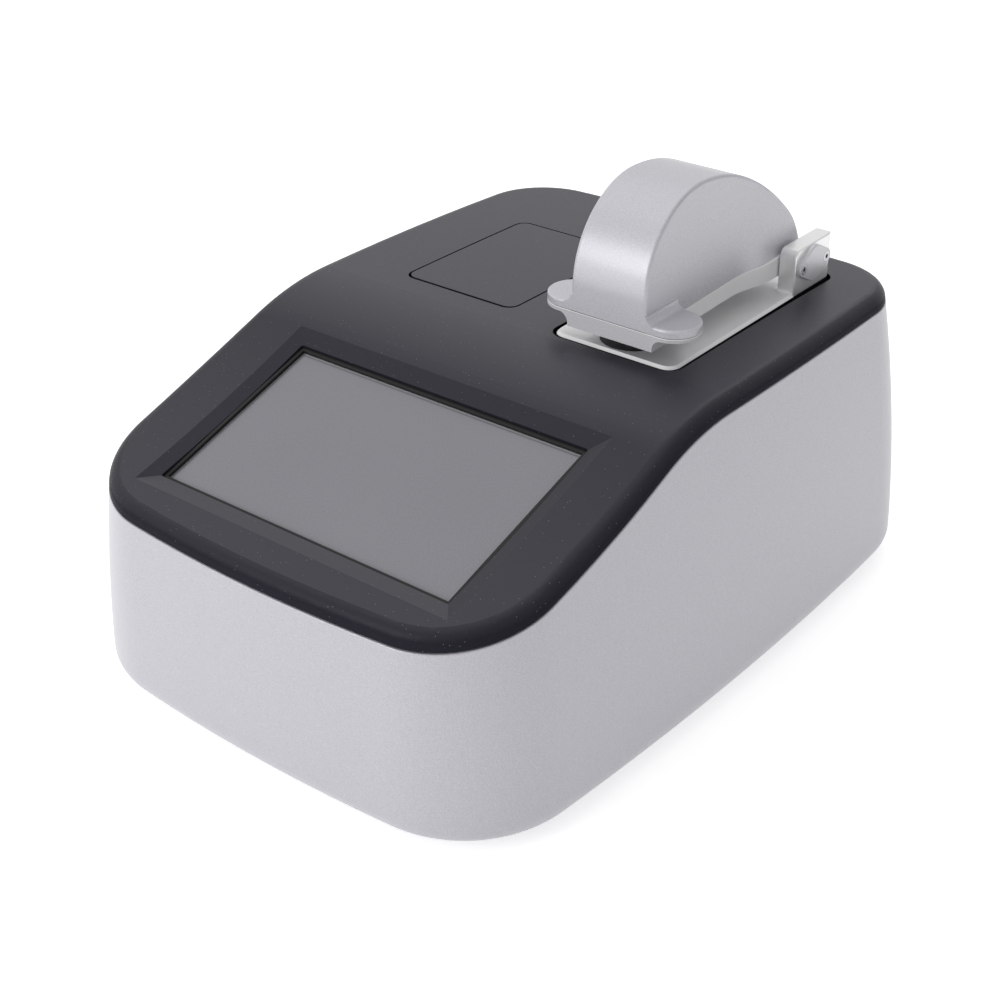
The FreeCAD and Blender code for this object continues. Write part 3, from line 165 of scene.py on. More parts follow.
# Grain and sparkle finishes for paint, moulded plastic and cast metal.
# colour is the mean, vary how far the grain goes to each side of it. topShine is the shine of
# a sloped and of a level face, and edgeShine the share of it that an upright face keeps.
# specks are pale flecks, so many cells to the metre.
finishes = {
    "silver_paint": {"colour": (0.535, 0.53, 0.573), "vary": 0.12, "grain": 2400, "metal": 0.30,
                     "rough": 0.38, "roughVary": 0.08, "bump": 0.10, "depth": 0.00003, "coat": 0.25},
    # the shell's silver paint made lighter for the arm cover: painted light
    "silver_paint_lit": {"colour": (0.60, 0.595, 0.64), "vary": 0.12, "grain": 2400, "metal": 0.30,
                  "rough": 0.38, "roughVary": 0.08, "bump": 0.10, "depth": 0.00003, "coat": 0.25},
    "dark_cover": {"colour": (0.0235, 0.023, 0.0315), "vary": 0.14, "grain": 3000, "metal": 0.0,
                   "rough": 0.40, "roughVary": 0.06, "bump": 0.22, "depth": 0.00004, "coat": 0.0,
                   "edgeShine": 0.06, "topShine": (0.31, 0.70), "shineTint": (0.90, 0.89, 1.0),
                   "specks": 420.0, "speckColour": (0.22, 0.22, 0.24)},
    "zinc_sheet": {"colour": (0.45, 0.46, 0.48), "vary": 0.12, "grain": 300, "metal": 0.9,
                   "rough": 0.38, "roughVary": 0.12, "bump": 0.05, "depth": 0.00003, "coat": 0.0},
    "foot_rubber": {"colour": (0.02, 0.02, 0.021), "vary": 0.15, "grain": 1800, "metal": 0.0,
                    "rough": 0.78, "roughVary": 0.08, "bump": 0.2, "depth": 0.00005, "coat": 0.0},
    "display_grey": {"colour": (0.10, 0.10, 0.11), "vary": 0.08, "grain": 900, "metal": 0.0,
                     "rough": 0.5, "roughVary": 0.08, "bump": 0.1, "depth": 0.00003, "coat": 0.0},
    "black_anodised": {"colour": (0.018, 0.018, 0.021), "vary": 0.12, "grain": 2200, "metal": 0.4,
                       "rough": 0.42, "roughVary": 0.08, "bump": 0.08, "depth": 0.00002, "coat": 0.0},
    "cap_silver": {"colour": (0.66, 0.66, 0.69), "vary": 0.06, "grain": 2400, "metal": 0.45,
                   "rough": 0.36, "roughVary": 0.06, "bump": 0.06, "depth": 0.00002, "coat": 0.15},
    "sand_silver": {"colour": (0.60, 0.60, 0.625), "vary": 0.10, "grain": 1900, "metal": 0.10,
                    "rough": 0.46, "roughVary": 0.12, "bump": 0.5, "depth": 0.00010, "coat": 0.0},
    "lamp_housing": {"colour": (0.03, 0.03, 0.032), "vary": 0.1, "grain": 1500, "metal": 0.0,
                     "rough": 0.5, "roughVary": 0.1, "bump": 0.12, "depth": 0.00003, "coat": 0.0},
    "bay_black": {"colour": (0.012, 0.012, 0.013), "vary": 0.15, "grain": 2600, "metal": 0.0,
                  "rough": 0.62, "roughVary": 0.08, "bump": 0.2, "depth": 0.00004, "coat": 0.0},
    "cast_deck": {"colour": (0.38, 0.39, 0.41), "vary": 0.14, "grain": 900, "metal": 0.8,
                  "rough": 0.5, "roughVary": 0.12, "bump": 0.3, "depth": 0.00008, "coat": 0.0},
    "fibre_jacket": {"colour": (0.02, 0.02, 0.024), "vary": 0.1, "grain": 1600, "metal": 0.0,
                     "rough": 0.5, "roughVary": 0.08, "bump": 0.1, "depth": 0.00003, "coat": 0.0},
    "board_green": {"colour": (0.010, 0.075, 0.028), "vary": 0.2, "grain": 500, "metal": 0.0,
                    "rough": 0.3, "roughVary": 0.08, "bump": 0.06, "depth": 0.00003, "coat": 0.4},
    "panel_black": {"colour": (0.02, 0.02, 0.022), "vary": 0.12, "grain": 1500, "metal": 0.0,
                    "rough": 0.55, "roughVary": 0.08, "bump": 0.35, "depth": 0.00008, "coat": 0.0},
    "socket_black": {"colour": (0.014, 0.014, 0.015), "vary": 0.1, "grain": 2400, "metal": 0.0,
                     "rough": 0.36, "roughVary": 0.06, "bump": 0.08, "depth": 0.00002, "coat": 0.1},
    "socket_grey": {"colour": (0.05, 0.05, 0.054), "vary": 0.1, "grain": 2000, "metal": 0.0,
                    "rough": 0.45, "roughVary": 0.08, "bump": 0.08, "depth": 0.00002, "coat": 0.0},
    "gasket_black": {"colour": (0.005, 0.005, 0.0055), "vary": 0.15, "grain": 2600, "metal": 0.0,
                     "rough": 0.6, "roughVary": 0.08, "bump": 0.15, "depth": 0.00003, "coat": 0.0},
    "mark_white": {"colour": (0.70, 0.70, 0.70), "vary": 0.05, "grain": 2600, "metal": 0.0,
                   "rough": 0.5, "roughVary": 0.06, "bump": 0.06, "depth": 0.00002, "coat": 0.0},
    "lens_green": {"colour": (0.10, 0.30, 0.12), "vary": 0.08, "grain": 2000, "metal": 0.0,
                   "rough": 0.2, "roughVary": 0.05, "bump": 0.03, "depth": 0.00002, "coat": 0.5},
    "lens_amber": {"colour": (0.50, 0.26, 0.05), "vary": 0.08, "grain": 2000, "metal": 0.0,
                   "rough": 0.2, "roughVary": 0.05, "bump": 0.03, "depth": 0.00002, "coat": 0.5},
}

# what the grained finishes share: the bands of the noise that go from dark to light and from glossy
# to dull, the broad clouds that lighten the colour, the size of a fleck, and how far a face must look
# up for its shine
grainPattern = {
    "roughness": 0.6,
    "band": (0.35, 0.65),
    "glossBand": (0.3, 0.7),
    "cloudScale": 14.0,
    "cloudDetail": 3.0,
    "cloudBand": (0.3, 0.7),
    "cloudShare": 0.06,
    "coatRough": 0.25,
    "speckBand": (0.05, 0.08),
    "uprightBand": (0.35, 0.9),
    "levelBand": (0.93, 1.0),
}


def grainFinish(name, s, pattern):
    material, tree, shader = newMaterial(name)
    coords = objectCoords(tree)
    fine = noise(tree, coords, s["grain"], roughness=pattern["roughness"])
    clouds = noise(tree, coords, pattern["cloudScale"], detail=pattern["cloudDetail"])
    dark = tuple(c * (1 - s["vary"]) for c in s["colour"])
    light = tuple(min(1.0, c * (1 + s["vary"])) for c in s["colour"])
    grained = blendColours(tree, spread(tree, fine, pattern["band"], rising), dark, light)
    cloudy = spread(tree, clouds, pattern["cloudBand"], (0.0, pattern["cloudShare"]))
    colour = blendColours(tree, cloudy, grained, light)
    if "specks" in s:
        cells = addNode(tree, "ShaderNodeTexVoronoi", Scale=s["specks"])
        tree.links.new(coords, cells.inputs["Vector"])
        speck = spread(tree, cells.outputs["Distance"], pattern["speckBand"], falling)
        colour = blendColours(tree, speck, colour, s["speckColour"])
    tree.links.new(colour, shader.inputs["Base Color"])
    gloss = spread(tree, fine, pattern["glossBand"], around(s["rough"], s["roughVary"]))
    tree.links.new(gloss, shader.inputs["Roughness"])
    shader.inputs["Metallic"].default_value = s["metal"]
    shader.inputs["Coat Weight"].default_value = s["coat"]
    shader.inputs["Coat Roughness"].default_value = pattern["coatRough"]
    bump(tree, shader, fine, s["bump"], s["depth"])
    if "edgeShine" in s:
        facing = upwards(tree)
        level = spread(tree, facing, pattern["levelBand"], s["topShine"])
        fade = spread(tree, facing, pattern["uprightBand"], (s["edgeShine"], 1.0))
        shine = calculate(tree, "MULTIPLY", level, fade)
        tree.links.new(shine, shader.inputs["Specular IOR Level"])
        shader.inputs["Specular Tint"].default_value = (*s["shineTint"], 1.0)
    return material


# painted shade: the cover is painted black in a band round the sample plate's slot, where the slot's gap
# lies in shadow
slotShadeSettings = {"centre": (0.0505, 0.0666, 0.0), "half": (0.0311, 0.0657, 1.0), "corner": 0.006,
               "width": 0.0018, "blur": 0.0003, "colour": (0.004, 0.004, 0.0045)}


# paints the slot's shade into the dark cover's colour and takes away its shine in that band
def paintSlotShade(material, s):
    tree = material.node_tree
    shader = tree.nodes["Principled BSDF"]
    away = objectCoords(tree)
    straight = tuple(half - s["corner"] for half in s["half"])
    steps = (("SUBTRACT", s["centre"]), ("ABSOLUTE", None), ("SUBTRACT", straight),
             ("MAXIMUM", (0.0, 0.0, 0.0)), ("LENGTH", None))
    for operation, value in steps:
        step = addNode(tree, "ShaderNodeVectorMath", operation=operation)
        tree.links.new(away, step.inputs[0])
        if value:
            step.inputs[1].default_value = value
        away = step.outputs["Value" if operation == "LENGTH" else "Vector"]
    edge = s["corner"] + s["width"]
    beyond = spread(tree, away, (edge - s["blur"], edge), rising)
    colour = blendColours(tree, beyond, s["colour"], feeding(shader, "Base Color"))
    tree.links.new(colour, shader.inputs["Base Color"])
    shine = calculate(tree, "MULTIPLY", feeding(shader, "Specular IOR Level"), beyond)
    tree.links.new(shine, shader.inputs["Specular IOR Level"])


# bare and plated metal: stretch is how much longer the brush lines are along X, contrast how dark they
# are, slant the metal share left on slanting edges, which catch the light. Below slotTop the plate's
# sides stand in the shade of its slot.
metals = {
    "satin_aluminium": {"colour": (0.93, 0.93, 0.935), "metal": 0.70, "rough": 0.36, "lines": 2600,
                        "stretch": 3.0, "contrast": 0.02, "bump": 0.006, "slant": 0.1,
                        "slotTop": 0.1400, "slotBlur": 0.0003, "slotColour": (0.02, 0.02, 0.022)},
    "pedestal_steel": {"colour": (0.60, 0.60, 0.61), "metal": 1.0, "rough": 0.18, "lines": 1500,
                       "stretch": 6.0, "contrast": 0.12, "bump": 0.03},
    "screw_steel": {"colour": (0.60, 0.60, 0.62), "metal": 0.9, "rough": 0.28, "lines": 1500,
                    "stretch": 3.0, "contrast": 0.12, "bump": 0.05},
    "bush_brass": {"colour": (0.62, 0.44, 0.17), "metal": 1.0, "rough": 0.26, "lines": 1500,
                   "stretch": 4.0, "contrast": 0.12, "bump": 0.04},
    "socket_steel": {"colour": (0.56, 0.56, 0.57), "metal": 1.0, "rough": 0.24, "lines": 1400,
                     "stretch": 5.0, "contrast": 0.12, "bump": 0.04},
    "contact_gold": {"colour": (0.70, 0.49, 0.20), "metal": 1.0, "rough": 0.22, "lines": 2500,
                     "stretch": 3.0, "contrast": 0.12, "bump": 0.03},
}

# what the brushed metals share: the noise of the lines and of the broad clouds that darken them, and
# how far a face must look up to count as slanting or upright
brushPattern = {
    "detail": 3.0,
    "roughness": 0.6,
    "band": (0.3, 0.7),
    "cloudScale": 25.0,
    "cloudShare": 0.1,
    "depth": 0.00002,
    "slantFrom": (0.5, 0.6),
    "slantTo": (0.85, 0.95),
    "uprightTo": (0.2, 0.4),
}


def brushedMetal(name, s, pattern):
    material, tree, shader = newMaterial(name)
    coords = objectCoords(tree)
    mapping = addNode(tree, "ShaderNodeMapping", Scale=(1.0 / s["stretch"], 1.0, 1.0))
    tree.links.new(coords, mapping.inputs["Vector"])
    lines = noise(tree, mapping.outputs["Vector"], s["lines"], pattern["detail"], pattern["roughness"])
    clouds = noise(tree, coords, pattern["cloudScale"])
    dark = tuple(c * (1 - s["contrast"]) for c in s["colour"])
    light = tuple(min(1.0, c * (1 + s["contrast"] / 2)) for c in s["colour"])
    brushed = blendColours(tree, spread(tree, lines, pattern["band"], rising), dark, light)
    cloudy = spread(tree, clouds, pattern["band"], (0.0, pattern["cloudShare"]))
    colour = blendColours(tree, cloudy, brushed, dark)
    gloss = spread(tree, lines, pattern["band"], around(s["rough"], s["contrast"] / 2))
    tree.links.new(gloss, shader.inputs["Roughness"])
    shader.inputs["Metallic"].default_value = s["metal"]
    if "slant" in s:
        facing = upwards(tree)
        above = spread(tree, facing, pattern["slantFrom"], rising)
        below = spread(tree, facing, pattern["slantTo"], falling)
        slanting = calculate(tree, "MULTIPLY", above, below)
        share = spread(tree, slanting, (0.0, 1.0), (s["metal"], s["slant"]))
        tree.links.new(share, shader.inputs["Metallic"])
        low = spread(tree, axes(tree, coords)["Z"], (s["slotTop"] - s["slotBlur"], s["slotTop"]), falling)
        upright = spread(tree, facing, pattern["uprightTo"], falling)
        colour = blendColours(tree, calculate(tree, "MULTIPLY", low, upright), colour, s["slotColour"])
    tree.links.new(colour, shader.inputs["Base Color"])
    bump(tree, shader, lines, s["bump"], pattern["depth"])
    return material


# the screen is off: a satin grey sheet, a slightly darker border and a pale line where the glass ends
screenSettings = {
    "centre": (0.002, -0.0975, 0.1130),
    "slope": 17.68,
    "halfWidth": 0.0751,
    "halfHeight": 0.0423,
    "border": 0.0008,
    "borderBlur": 0.0002,
    "edgeBlur": 0.0001,
    "grey": (0.225, 0.225, 0.25),
    "borderGrey": (0.165, 0.165, 0.182),
    "edgeGrey": (0.36, 0.36, 0.38),
    "haze": 9.0,
    "hazeBand": (0.35, 0.65),
    "hazeLight": 1.05,
    "grain": 3000.0,
    "grainDetail": 1.0,
    "grainBand": (0.3, 0.7),
    "rough": 0.26,
    "roughVary": 0.03,
    "bump": 0.02,
    "depth": 0.00001,
}


def screenFinish(name, s):
    material, tree, shader = newMaterial(name)
    coords = objectCoords(tree)
    mapping = addNode(tree, "ShaderNodeMapping", vector_type="TEXTURE", Location=s["centre"],
                      Rotation=(math.radians(s["slope"]), 0, 0))
    tree.links.new(coords, mapping.inputs["Vector"])
    flat = axes(tree, mapping.outputs["Vector"])
    beyond = [calculate(tree, "SUBTRACT", calculate(tree, "ABSOLUTE", flat[axis]), half)
              for axis, half in (("X", s["halfWidth"]), ("Y", s["halfHeight"]))]
    outside = calculate(tree, "MAXIMUM", *beyond)
    onBorder = spread(tree, outside, (0.0, s["borderBlur"]), rising)
    onEdge = spread(tree, outside, (s["border"] - s["edgeBlur"], s["border"]), rising)
    haze = spread(tree, noise(tree, coords, s["haze"]), s["hazeBand"], rising)
    grain = noise(tree, coords, s["grain"], detail=s["grainDetail"])
    colour = blendColours(tree, haze, s["grey"], tuple(c * s["hazeLight"] for c in s["grey"]))
    colour = blendColours(tree, onBorder, colour, s["borderGrey"])
    colour = blendColours(tree, onEdge, colour, s["edgeGrey"])
    tree.links.new(colour, shader.inputs["Base Color"])
    gloss = spread(tree, grain, s["grainBand"], around(s["rough"], s["roughVary"]))
    tree.links.new(gloss, shader.inputs["Roughness"])
    bump(tree, shader, grain, s["bump"], s["depth"])
    return material


# clear silica of the fibre ends, slightly hazy
silicaSettings = {"grain": 2500.0, "band": (0.3, 0.7), "colours": ((0.78, 0.84, 0.86), (0.9, 0.94, 0.95)),
                  "rough": (0.05, 0.12), "clear": 0.6}


def silicaFinish(name, s):
    material, tree, shader = newMaterial(name)
    haze = noise(tree, objectCoords(tree), s["grain"])
    tree.links.new(blendColours(tree, haze, *s["colours"]), shader.inputs["Base Color"])
    tree.links.new(spread(tree, haze, s["band"], s["rough"]), shader.inputs["Roughness"])
    shader.inputs["Transmission Weight"].default_value = s["clear"]
    return material


# The arm beam's head is sand blasted, its bar is machined smooth behind barFrom (along Y). Below the
# cover's ears a pale band is painted on the head as a painted highlight, the light caught on the beam ear's
# top edge, and it ends at the dark joint (heights at the head).
beamSettings = {
    "barFrom": 0.0229,
    "barBlur": 0.0001,
    "barColour": (0.88, 0.88, 0.89),
    "barBump": 0.04,
    "highlightFrom": 0.15385,
    "joint": 0.15424,
    "heightBlur": 0.00003,
    "highlightColour": (0.93, 0.93, 0.94),
    "jointColour": (0.02, 0.02, 0.022),
}


def dressBeam(material, s):
    tree = material.node_tree
    shader = tree.nodes["Principled BSDF"]
    place = axes(tree, objectCoords(tree))
    border = around(s["barFrom"], s["barBlur"])
    onBar = spread(tree, place["Y"], border, rising)
    onHead = spread(tree, place["Y"], border, falling)
    colour = blendColours(tree, onBar, feeding(shader, "Base Color"), s["barColour"])
    # first a band of painted highlight, then the dark joint above it
    for height, tone in ((s["highlightFrom"], s["highlightColour"]), (s["joint"], s["jointColour"])):
        above = spread(tree, place["Z"], around(height, s["heightBlur"]), rising)
        colour = blendColours(tree, calculate(tree, "MULTIPLY", above, onHead), colour, tone)
    tree.links.new(colour, shader.inputs["Base Color"])
    strength = feeding(shader, "Normal").node.inputs["Strength"]
    tree.links.new(spread(tree, onBar, (0.0, 1.0), (strength.default_value, s["barBump"])), strength)


def makeMaterials():
    made = {name: grainFinish(name, s, grainPattern) for name, s in finishes.items()}
    made.update({name: brushedMetal(name, s, brushPattern) for name, s in metals.items()})
    dressBeam(made["sand_silver"], beamSettings)
    # the slot's shade is painted onto the dark cover
    paintSlotShade(made["dark_cover"], slotShadeSettings)
    made["screen_glass"] = screenFinish("screen_glass", screenSettings)
    made["fibre_silica"] = silicaFinish("fibre_silica", silicaSettings)
    return made


materials = makeMaterials()
# painted light: the arm cover wears a lighter copy of the shell's silver paint
litPieces = {"arm_cover": "silver_paint_lit"}
for part in frame["record"]["subparts"]:
    piece = nodes[part["node"]]
    for place in piece.material_slots:
        place.material = materials[litPieces.get(part["node"], part["material_slot"])]
print("materials on", len(materials), "finishes")


# small fittings that the CAD solids leave out, each riding on its body; turns are in degrees
bevelSteps = 2
smoothBelow = 40


def startPiece():
    bpy.ops.object.select_all(action="DESELECT")


def settlePiece(name, body, finish):
    piece = bpy.context.object
    piece.name = name
    bpy.ops.object.transform_apply(location=True, rotation=True, scale=True)
    piece.data.materials.clear()
    piece.data.materials.append(materials[finish])
    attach(piece, body)


def inRadians(turn):
    return tuple(math.radians(angle) for angle in turn)


def bevelEdges(width):
    bpy.ops.object.mode_set(mode="EDIT")
    bpy.ops.mesh.select_all(action="SELECT")
    bpy.ops.mesh.bevel(offset=width, segments=bevelSteps)
    bpy.ops.object.mode_set(mode="OBJECT")


def addBar(centre, size, turn=(0, 0, 0), edge=0.0):
    startPiece()
    bpy.ops.mesh.primitive_cube_add(size=1.0, location=centre, rotation=inRadians(turn))
    bpy.context.object.scale = size
    bpy.ops.object.transform_apply(location=False, rotation=False, scale=True)
    if edge > 0:
        bevelEdges(edge)


# a bevelled rod is shaded smooth, apart from its sharp edges
def addRod(centre, radius, length, sides, turn=(0, 0, 0), edge=0.0):
    startPiece()
    bpy.ops.mesh.primitive_cylinder_add(vertices=sides, radius=radius, depth=length, location=centre,
                                        rotation=inRadians(turn))
    if edge > 0:
        bevelEdges(edge)
        bpy.ops.object.shade_smooth_by_angle(angle=math.radians(smoothBelow))


def addRing(centre, radius, wire, sides, tilt=0.0):
    startPiece()
    bpy.ops.mesh.primitive_torus_add(major_radius=radius, minor_radius=wire, major_segments=sides[0],
                                     minor_segments=sides[1], location=centre,
                                     rotation=inRadians((90, 0, tilt)))
    bpy.ops.object.shade_smooth()


def repeatPiece(count, step):
    bpy.ops.object.transform_apply(location=True, rotation=True, scale=True)
    bpy.ops.object.modifier_add(type="ARRAY")
    copies = bpy.context.object.modifiers[-1]
    copies.count = count
    copies.use_relative_offset = False
    copies.use_constant_offset = True
    copies.constant_offset_displace = step
    bpy.ops.object.modifier_apply(modifier=copies.name)


# black foam gasket that seals the cover's window against the glass
gasketSettings = {"centre": (0.002, -0.096326, 0.111046), "slope": 17.68, "width": 0.1558,
                  "height": 0.0902, "band": 0.0018, "thickness": 0.0016, "edge": 0.00015}


def makeGasket(s):
    startPiece()
    bpy.ops.mesh.primitive_plane_add(size=1.0, location=s["centre"], rotation=inRadians((s["slope"], 0, 0)))
    gasket = bpy.context.object
    gasket.scale = (s["width"], s["height"], 1.0)
    bpy.ops.object.transform_apply(location=False, rotation=False, scale=True)
    bpy.ops.object.mode_set(mode="EDIT")
    bpy.ops.mesh.select_all(action="SELECT")
    bpy.ops.mesh.inset(thickness=s["band"], depth=0.0)
    bpy.ops.mesh.delete(type="FACE")
    bpy.ops.mesh.select_all(action="SELECT")
    bpy.ops.mesh.extrude_region_shrink_fatten(TRANSFORM_OT_shrink_fatten={"value": s["thickness"]})
    bpy.ops.mesh.select_all(action="SELECT")
    bpy.ops.mesh.normals_make_consistent(inside=False)
    bpy.ops.mesh.bevel(offset=s["edge"], segments=bevelSteps)
    bpy.ops.object.mode_set(mode="OBJECT")
    settlePiece("screenGasket", "base", "gasket_black")


makeGasket(gasketSettings)

# the outer face of the rear panel, and the height of the middle of all its sockets
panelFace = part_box("rear_panel")[1][1]
socketHeight = 0.049

# the power rocker's bar and ring, moulded on its two sloping faces
rockerMarks = {
    "axisBehind": 0.003,
    "ringAt": (-0.0145, 0.00480),
    "ringTilt": 7.63,
    "ringRadius": 0.0019,
    "ringWire": 0.00024,
    "ringSides": (40, 8),
    "barAt": (-0.02235, 0.00399),
    "barTilt": 4.37,
    "bar": (0.0007, 0.0003, 0.0044),
    "barEdge": 0.0001,
}


def makeRockerMarks(s):
    axisY = panelFace - s["axisBehind"]
    ringPlace = (s["ringAt"][0], axisY + s["ringAt"][1], socketHeight)
    addRing(ringPlace, s["ringRadius"], s["ringWire"], s["ringSides"], s["ringTilt"])
    settlePiece("rockerRing", "rocker", "mark_white")
    barPlace = (s["barAt"][0], axisY + s["barAt"][1], socketHeight)
    addBar(barPlace, s["bar"], (0, 0, s["barTilt"]), s["barEdge"])
    settlePiece("rockerBar", "rocker", "mark_white")


# gold contacts and the two lamp windows of the network socket
networkSettings = {
    "x": 0.045,
    "pitch": 0.00102,
    "count": 8,
    "wire": (0.00045, 0.0085, 0.00022),
    "wireEdge": 0.00005,
    "lean": 26.0,
    "behind": 0.0056,
    "above": 0.0030,
    "lens": (0.0024, 0.0006, 0.0015),
    "lensEdge": 0.0002,
    "lensAside": 0.0056,
    "lensAhead": 0.0006,
    "lensBelow": 0.0050,
}


def makeNetworkFittings(s):
    firstX = s["x"] - s["pitch"] * (s["count"] - 1) / 2
    firstPlace = (firstX, panelFace - s["behind"], socketHeight + s["above"])
    addBar(firstPlace, s["wire"], (s["lean"], 0, 0), s["wireEdge"])
    repeatPiece(s["count"], (s["pitch"], 0, 0))
    settlePiece("networkContacts", "base", "contact_gold")
    for name, side, finish in (("Left", -1, "lens_green"), ("Right", 1, "lens_amber")):
        lensX = s["x"] + side * s["lensAside"]
        lensPlace = (lensX, panelFace + s["lensAhead"], socketHeight - s["lensBelow"])
        addBar(lensPlace, s["lens"], edge=s["lensEdge"])
        settlePiece("networkLens" + name, "base", finish)


# contact strips under the tongue of each USB socket
usbSettings = {"x": (0.008, 0.026), "pitch": 0.0022, "count": 4, "strip": (0.0011, 0.0090, 0.00012),
               "behind": 0.0066, "under": 0.00018}


def makeUsbContacts(s):
    for index, middle in enumerate(s["x"]):
        firstX = middle - s["pitch"] * (s["count"] - 1) / 2
        addBar((firstX, panelFace - s["behind"], socketHeight + s["under"]), s["strip"])
        repeatPiece(s["count"], (s["pitch"], 0, 0))
        settlePiece("usbContacts" + str(index + 1), "base", "contact_gold")


# the metal sleeve on the power inlet's pin and the spring ring in its mouth
inletSettings = {
    "x": -0.042,
    "pinRadius": 0.00106,
    "pinLength": 0.0078,
    "pinSides": 40,
    "pinMiddle": 0.0050,
    "pinEdge": 0.00015,
    "ringRadius": 0.00335,
    "ringWire": 0.00045,
    "ringSides": (56, 12),
    "ringAhead": 0.0010,
}


def makeInletFittings(s):
    pinPlace = (s["x"], panelFace - s["pinMiddle"], socketHeight)
    addRod(pinPlace, s["pinRadius"], s["pinLength"], s["pinSides"], (90, 0, 0), s["pinEdge"])
    settlePiece("inletPin", "base", "pedestal_steel")
    ringPlace = (s["x"], panelFace + s["ringAhead"], socketHeight)
    addRing(ringPlace, s["ringRadius"], s["ringWire"], s["ringSides"])
    settlePiece("inletRing", "base", "screw_steel")


# an arrow beside the cuvette well that shows the way of the light, and the lid's two catch magnets
hatchSettings = {
    "arrowAt": (-0.040, 0.0430),
    "arrowShaft": (0.0090, 0.0009, 0.0002),
    "arrowHead": 0.0016,
    "arrowCorners": 3,
    "magnetX": (-0.055, -0.0255),
    "magnetY": 0.0232,
    "magnetAbove": 0.0019,
    "magnetRadius": 0.0030,
    "magnetHeight": 0.0012,
    "magnetSides": 48,
    "magnetEdge": 0.0002,
}


def makeHatchFittings(s):
    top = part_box("cuvette_holder")[1][2]
    x, y = s["arrowAt"]
    length, width, thickness = s["arrowShaft"]
    addBar((x, y, top), (length, width, thickness))
    settlePiece("wellArrowShaft", "base", "mark_white")
    addRod((x + length / 2, y, top), s["arrowHead"], thickness, s["arrowCorners"], (0, 0, -90))
    settlePiece("wellArrowHead", "base", "mark_white")
    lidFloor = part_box("cuvette_lid")[0][2]
    for index, magnetX in enumerate(s["magnetX"]):
        magnetPlace = (magnetX, s["magnetY"], lidFloor + s["magnetAbove"])
        addRod(magnetPlace, s["magnetRadius"], s["magnetHeight"], s["magnetSides"], edge=s["magnetEdge"])
        settlePiece("lidMagnet" + str(index + 1), "lid", "screw_steel")


# painted shade: thin black discs deep in the hinge caps' socket screws, where the sockets lie in shadow
socketShadeSettings = {"x": (0.01765, 0.08335), "y": (0.1016, 0.1214), "z": 0.1522, "radius": 0.00122,
                  "depth": 0.0001, "sides": 24}


def makeSocketShade(s):
    places = [(x, y, s["z"]) for x in s["x"] for y in s["y"]]
    for index, place in enumerate(places):
        # a black disc of painted shade in each socket
        addRod(place, s["radius"], s["depth"], s["sides"], (0, 90, 0))
        settlePiece("capSocketShade" + str(index + 1), "base", "gasket_black")


makeSocketShade(socketShadeSettings)
makeRockerMarks(rockerMarks)
makeNetworkFittings(networkSettings)
makeUsbContacts(usbSettings)
makeInletFittings(inletSettings)
makeHatchFittings(hatchSettings)
print("fittings made")


# studio: a white floor just below the feet, low soft lamps, and a wide even sky that is a little dimmer
# overhead and to the right
studio = {
    "floor": {"size": 6.0, "below": 0.00005, "clouds": 3.0, "rough": 0.9, "glow": 0.55,
              "whites": ((0.93, 0.93, 0.93), (0.95, 0.95, 0.95))},
    "sky": {"low": 0.45, "high": 0.85, "horizon": 0.85, "zenith": 0.62, "leftEdge": -0.3, "rightEdge": 0.6,
            "rightShare": 0.58, "white": (1.0, 1.0, 1.0, 1.0)},
    "lights": (
        {"name": "overhead", "at": (-0.35, 0.25, 1.9), "aim": (0, 0, 0.1), "size": 2.4, "power": 7.0},
        {"name": "frontLeft", "at": (-0.62, -1.68, 0.74), "aim": (0, 0, 0.14), "size": 0.8, "power": 8.0},
        {"name": "rightSide", "at": (1.6, -0.3, 0.8), "aim": (0, 0, 0.1), "size": 1.0, "power": 0.3},
    ),
}


def chooseShader(tree, choice, first, second):
    node = addNode(tree, "ShaderNodeMixShader")
    for socket, value in zip(node.inputs, (choice, first, second)):
        tree.links.new(value, socket)
    return node.outputs[0]


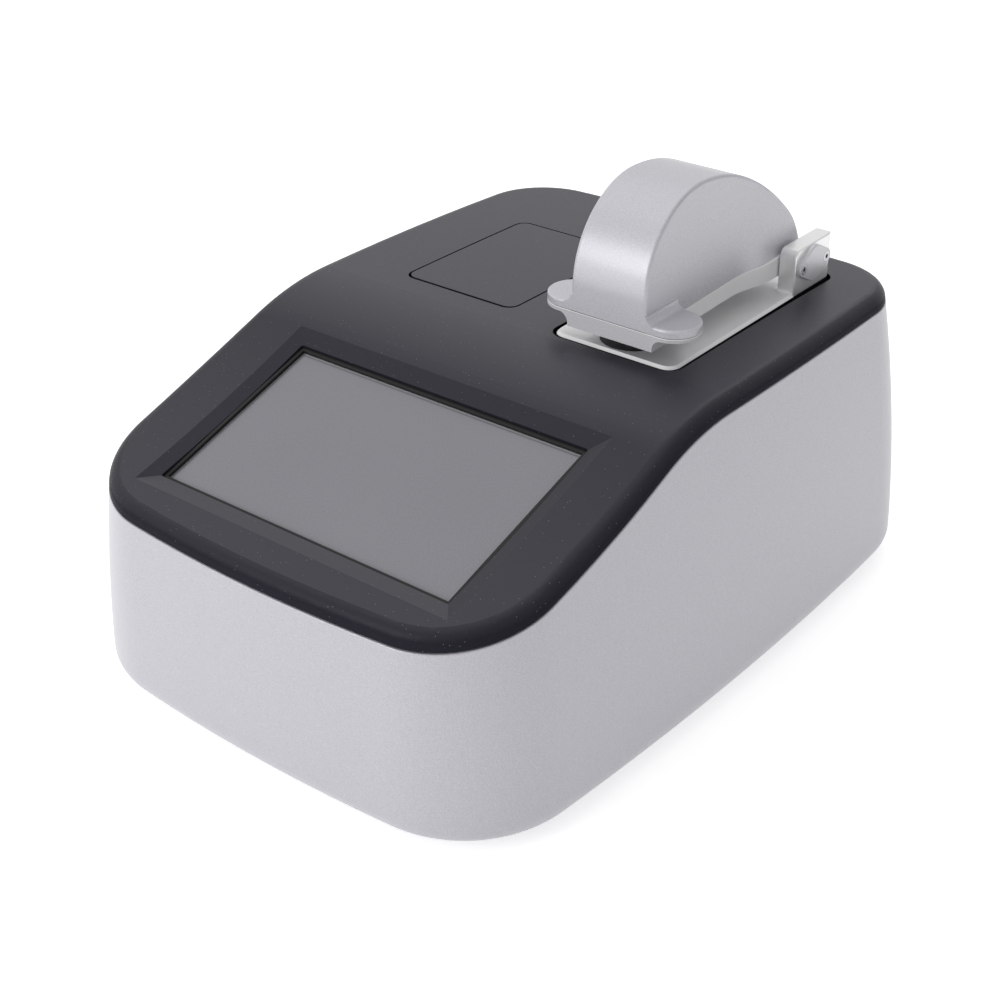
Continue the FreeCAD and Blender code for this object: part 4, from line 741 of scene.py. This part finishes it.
# the floor glows a little where it is seen, straight or in a reflection, so that it looks white
def makeFloor(s):
    bpy.ops.mesh.primitive_plane_add(size=s["size"], location=(0, 0, -s["below"]))
    floor = bpy.context.object
    floor.name = "studioFloor"
    material, tree, shader = newMaterial("floorWhite")
    clouds = noise(tree, objectCoords(tree), s["clouds"])
    tree.links.new(blendColours(tree, clouds, *s["whites"]), shader.inputs["Base Color"])
    shader.inputs["Roughness"].default_value = s["rough"]
    rays = addNode(tree, "ShaderNodeLightPath").outputs
    seen = calculate(tree, "MAXIMUM", rays["Is Camera Ray"], rays["Is Glossy Ray"])
    glow = addNode(tree, "ShaderNodeEmission", Strength=s["glow"])
    total = addNode(tree, "ShaderNodeAddShader")
    tree.links.new(shader.outputs[0], total.inputs[0])
    tree.links.new(glow.outputs[0], total.inputs[1])
    surface = chooseShader(tree, seen, shader.outputs[0], total.outputs[0])
    tree.links.new(surface, tree.nodes["Material Output"].inputs["Surface"])
    floor.data.materials.append(material)


# the sky lights the scene, and the camera sees plain white in its place
def makeWorld(s):
    world = bpy.data.worlds.new("studioWorld")
    bpy.context.scene.world = world
    world.use_nodes = True
    tree = world.node_tree
    soft = tree.nodes["Background"]
    direction = axes(tree, addNode(tree, "ShaderNodeTexCoord").outputs["Generated"])
    height = spread(tree, direction["Z"], (s["low"], s["high"]), (s["horizon"], s["zenith"]))
    share = spread(tree, direction["X"], (s["leftEdge"], s["rightEdge"]), (1.0, s["rightShare"]))
    tree.links.new(calculate(tree, "MULTIPLY", height, share), soft.inputs["Strength"])
    soft.inputs["Color"].default_value = s["white"]
    plain = addNode(tree, "ShaderNodeBackground", Strength=1.0, Color=s["white"])
    seen = addNode(tree, "ShaderNodeLightPath").outputs["Is Camera Ray"]
    surface = chooseShader(tree, seen, soft.outputs[0], plain.outputs[0])
    tree.links.new(surface, tree.nodes["World Output"].inputs["Surface"])


def makeLight(s):
    bpy.ops.object.light_add(type="AREA", location=s["at"])
    light = bpy.context.object
    light.name = s["name"]
    light.data.size = s["size"]
    light.data.energy = s["power"]
    towards = Vector(s["aim"]) - Vector(s["at"])
    light.rotation_euler = towards.to_track_quat("-Z", "Y").to_euler()


makeFloor(studio["floor"])
makeWorld(studio["sky"])
for lightSettings in studio["lights"]:
    makeLight(lightSettings)
bpy.context.scene.view_settings.view_transform = "Standard"
print("studio ready")
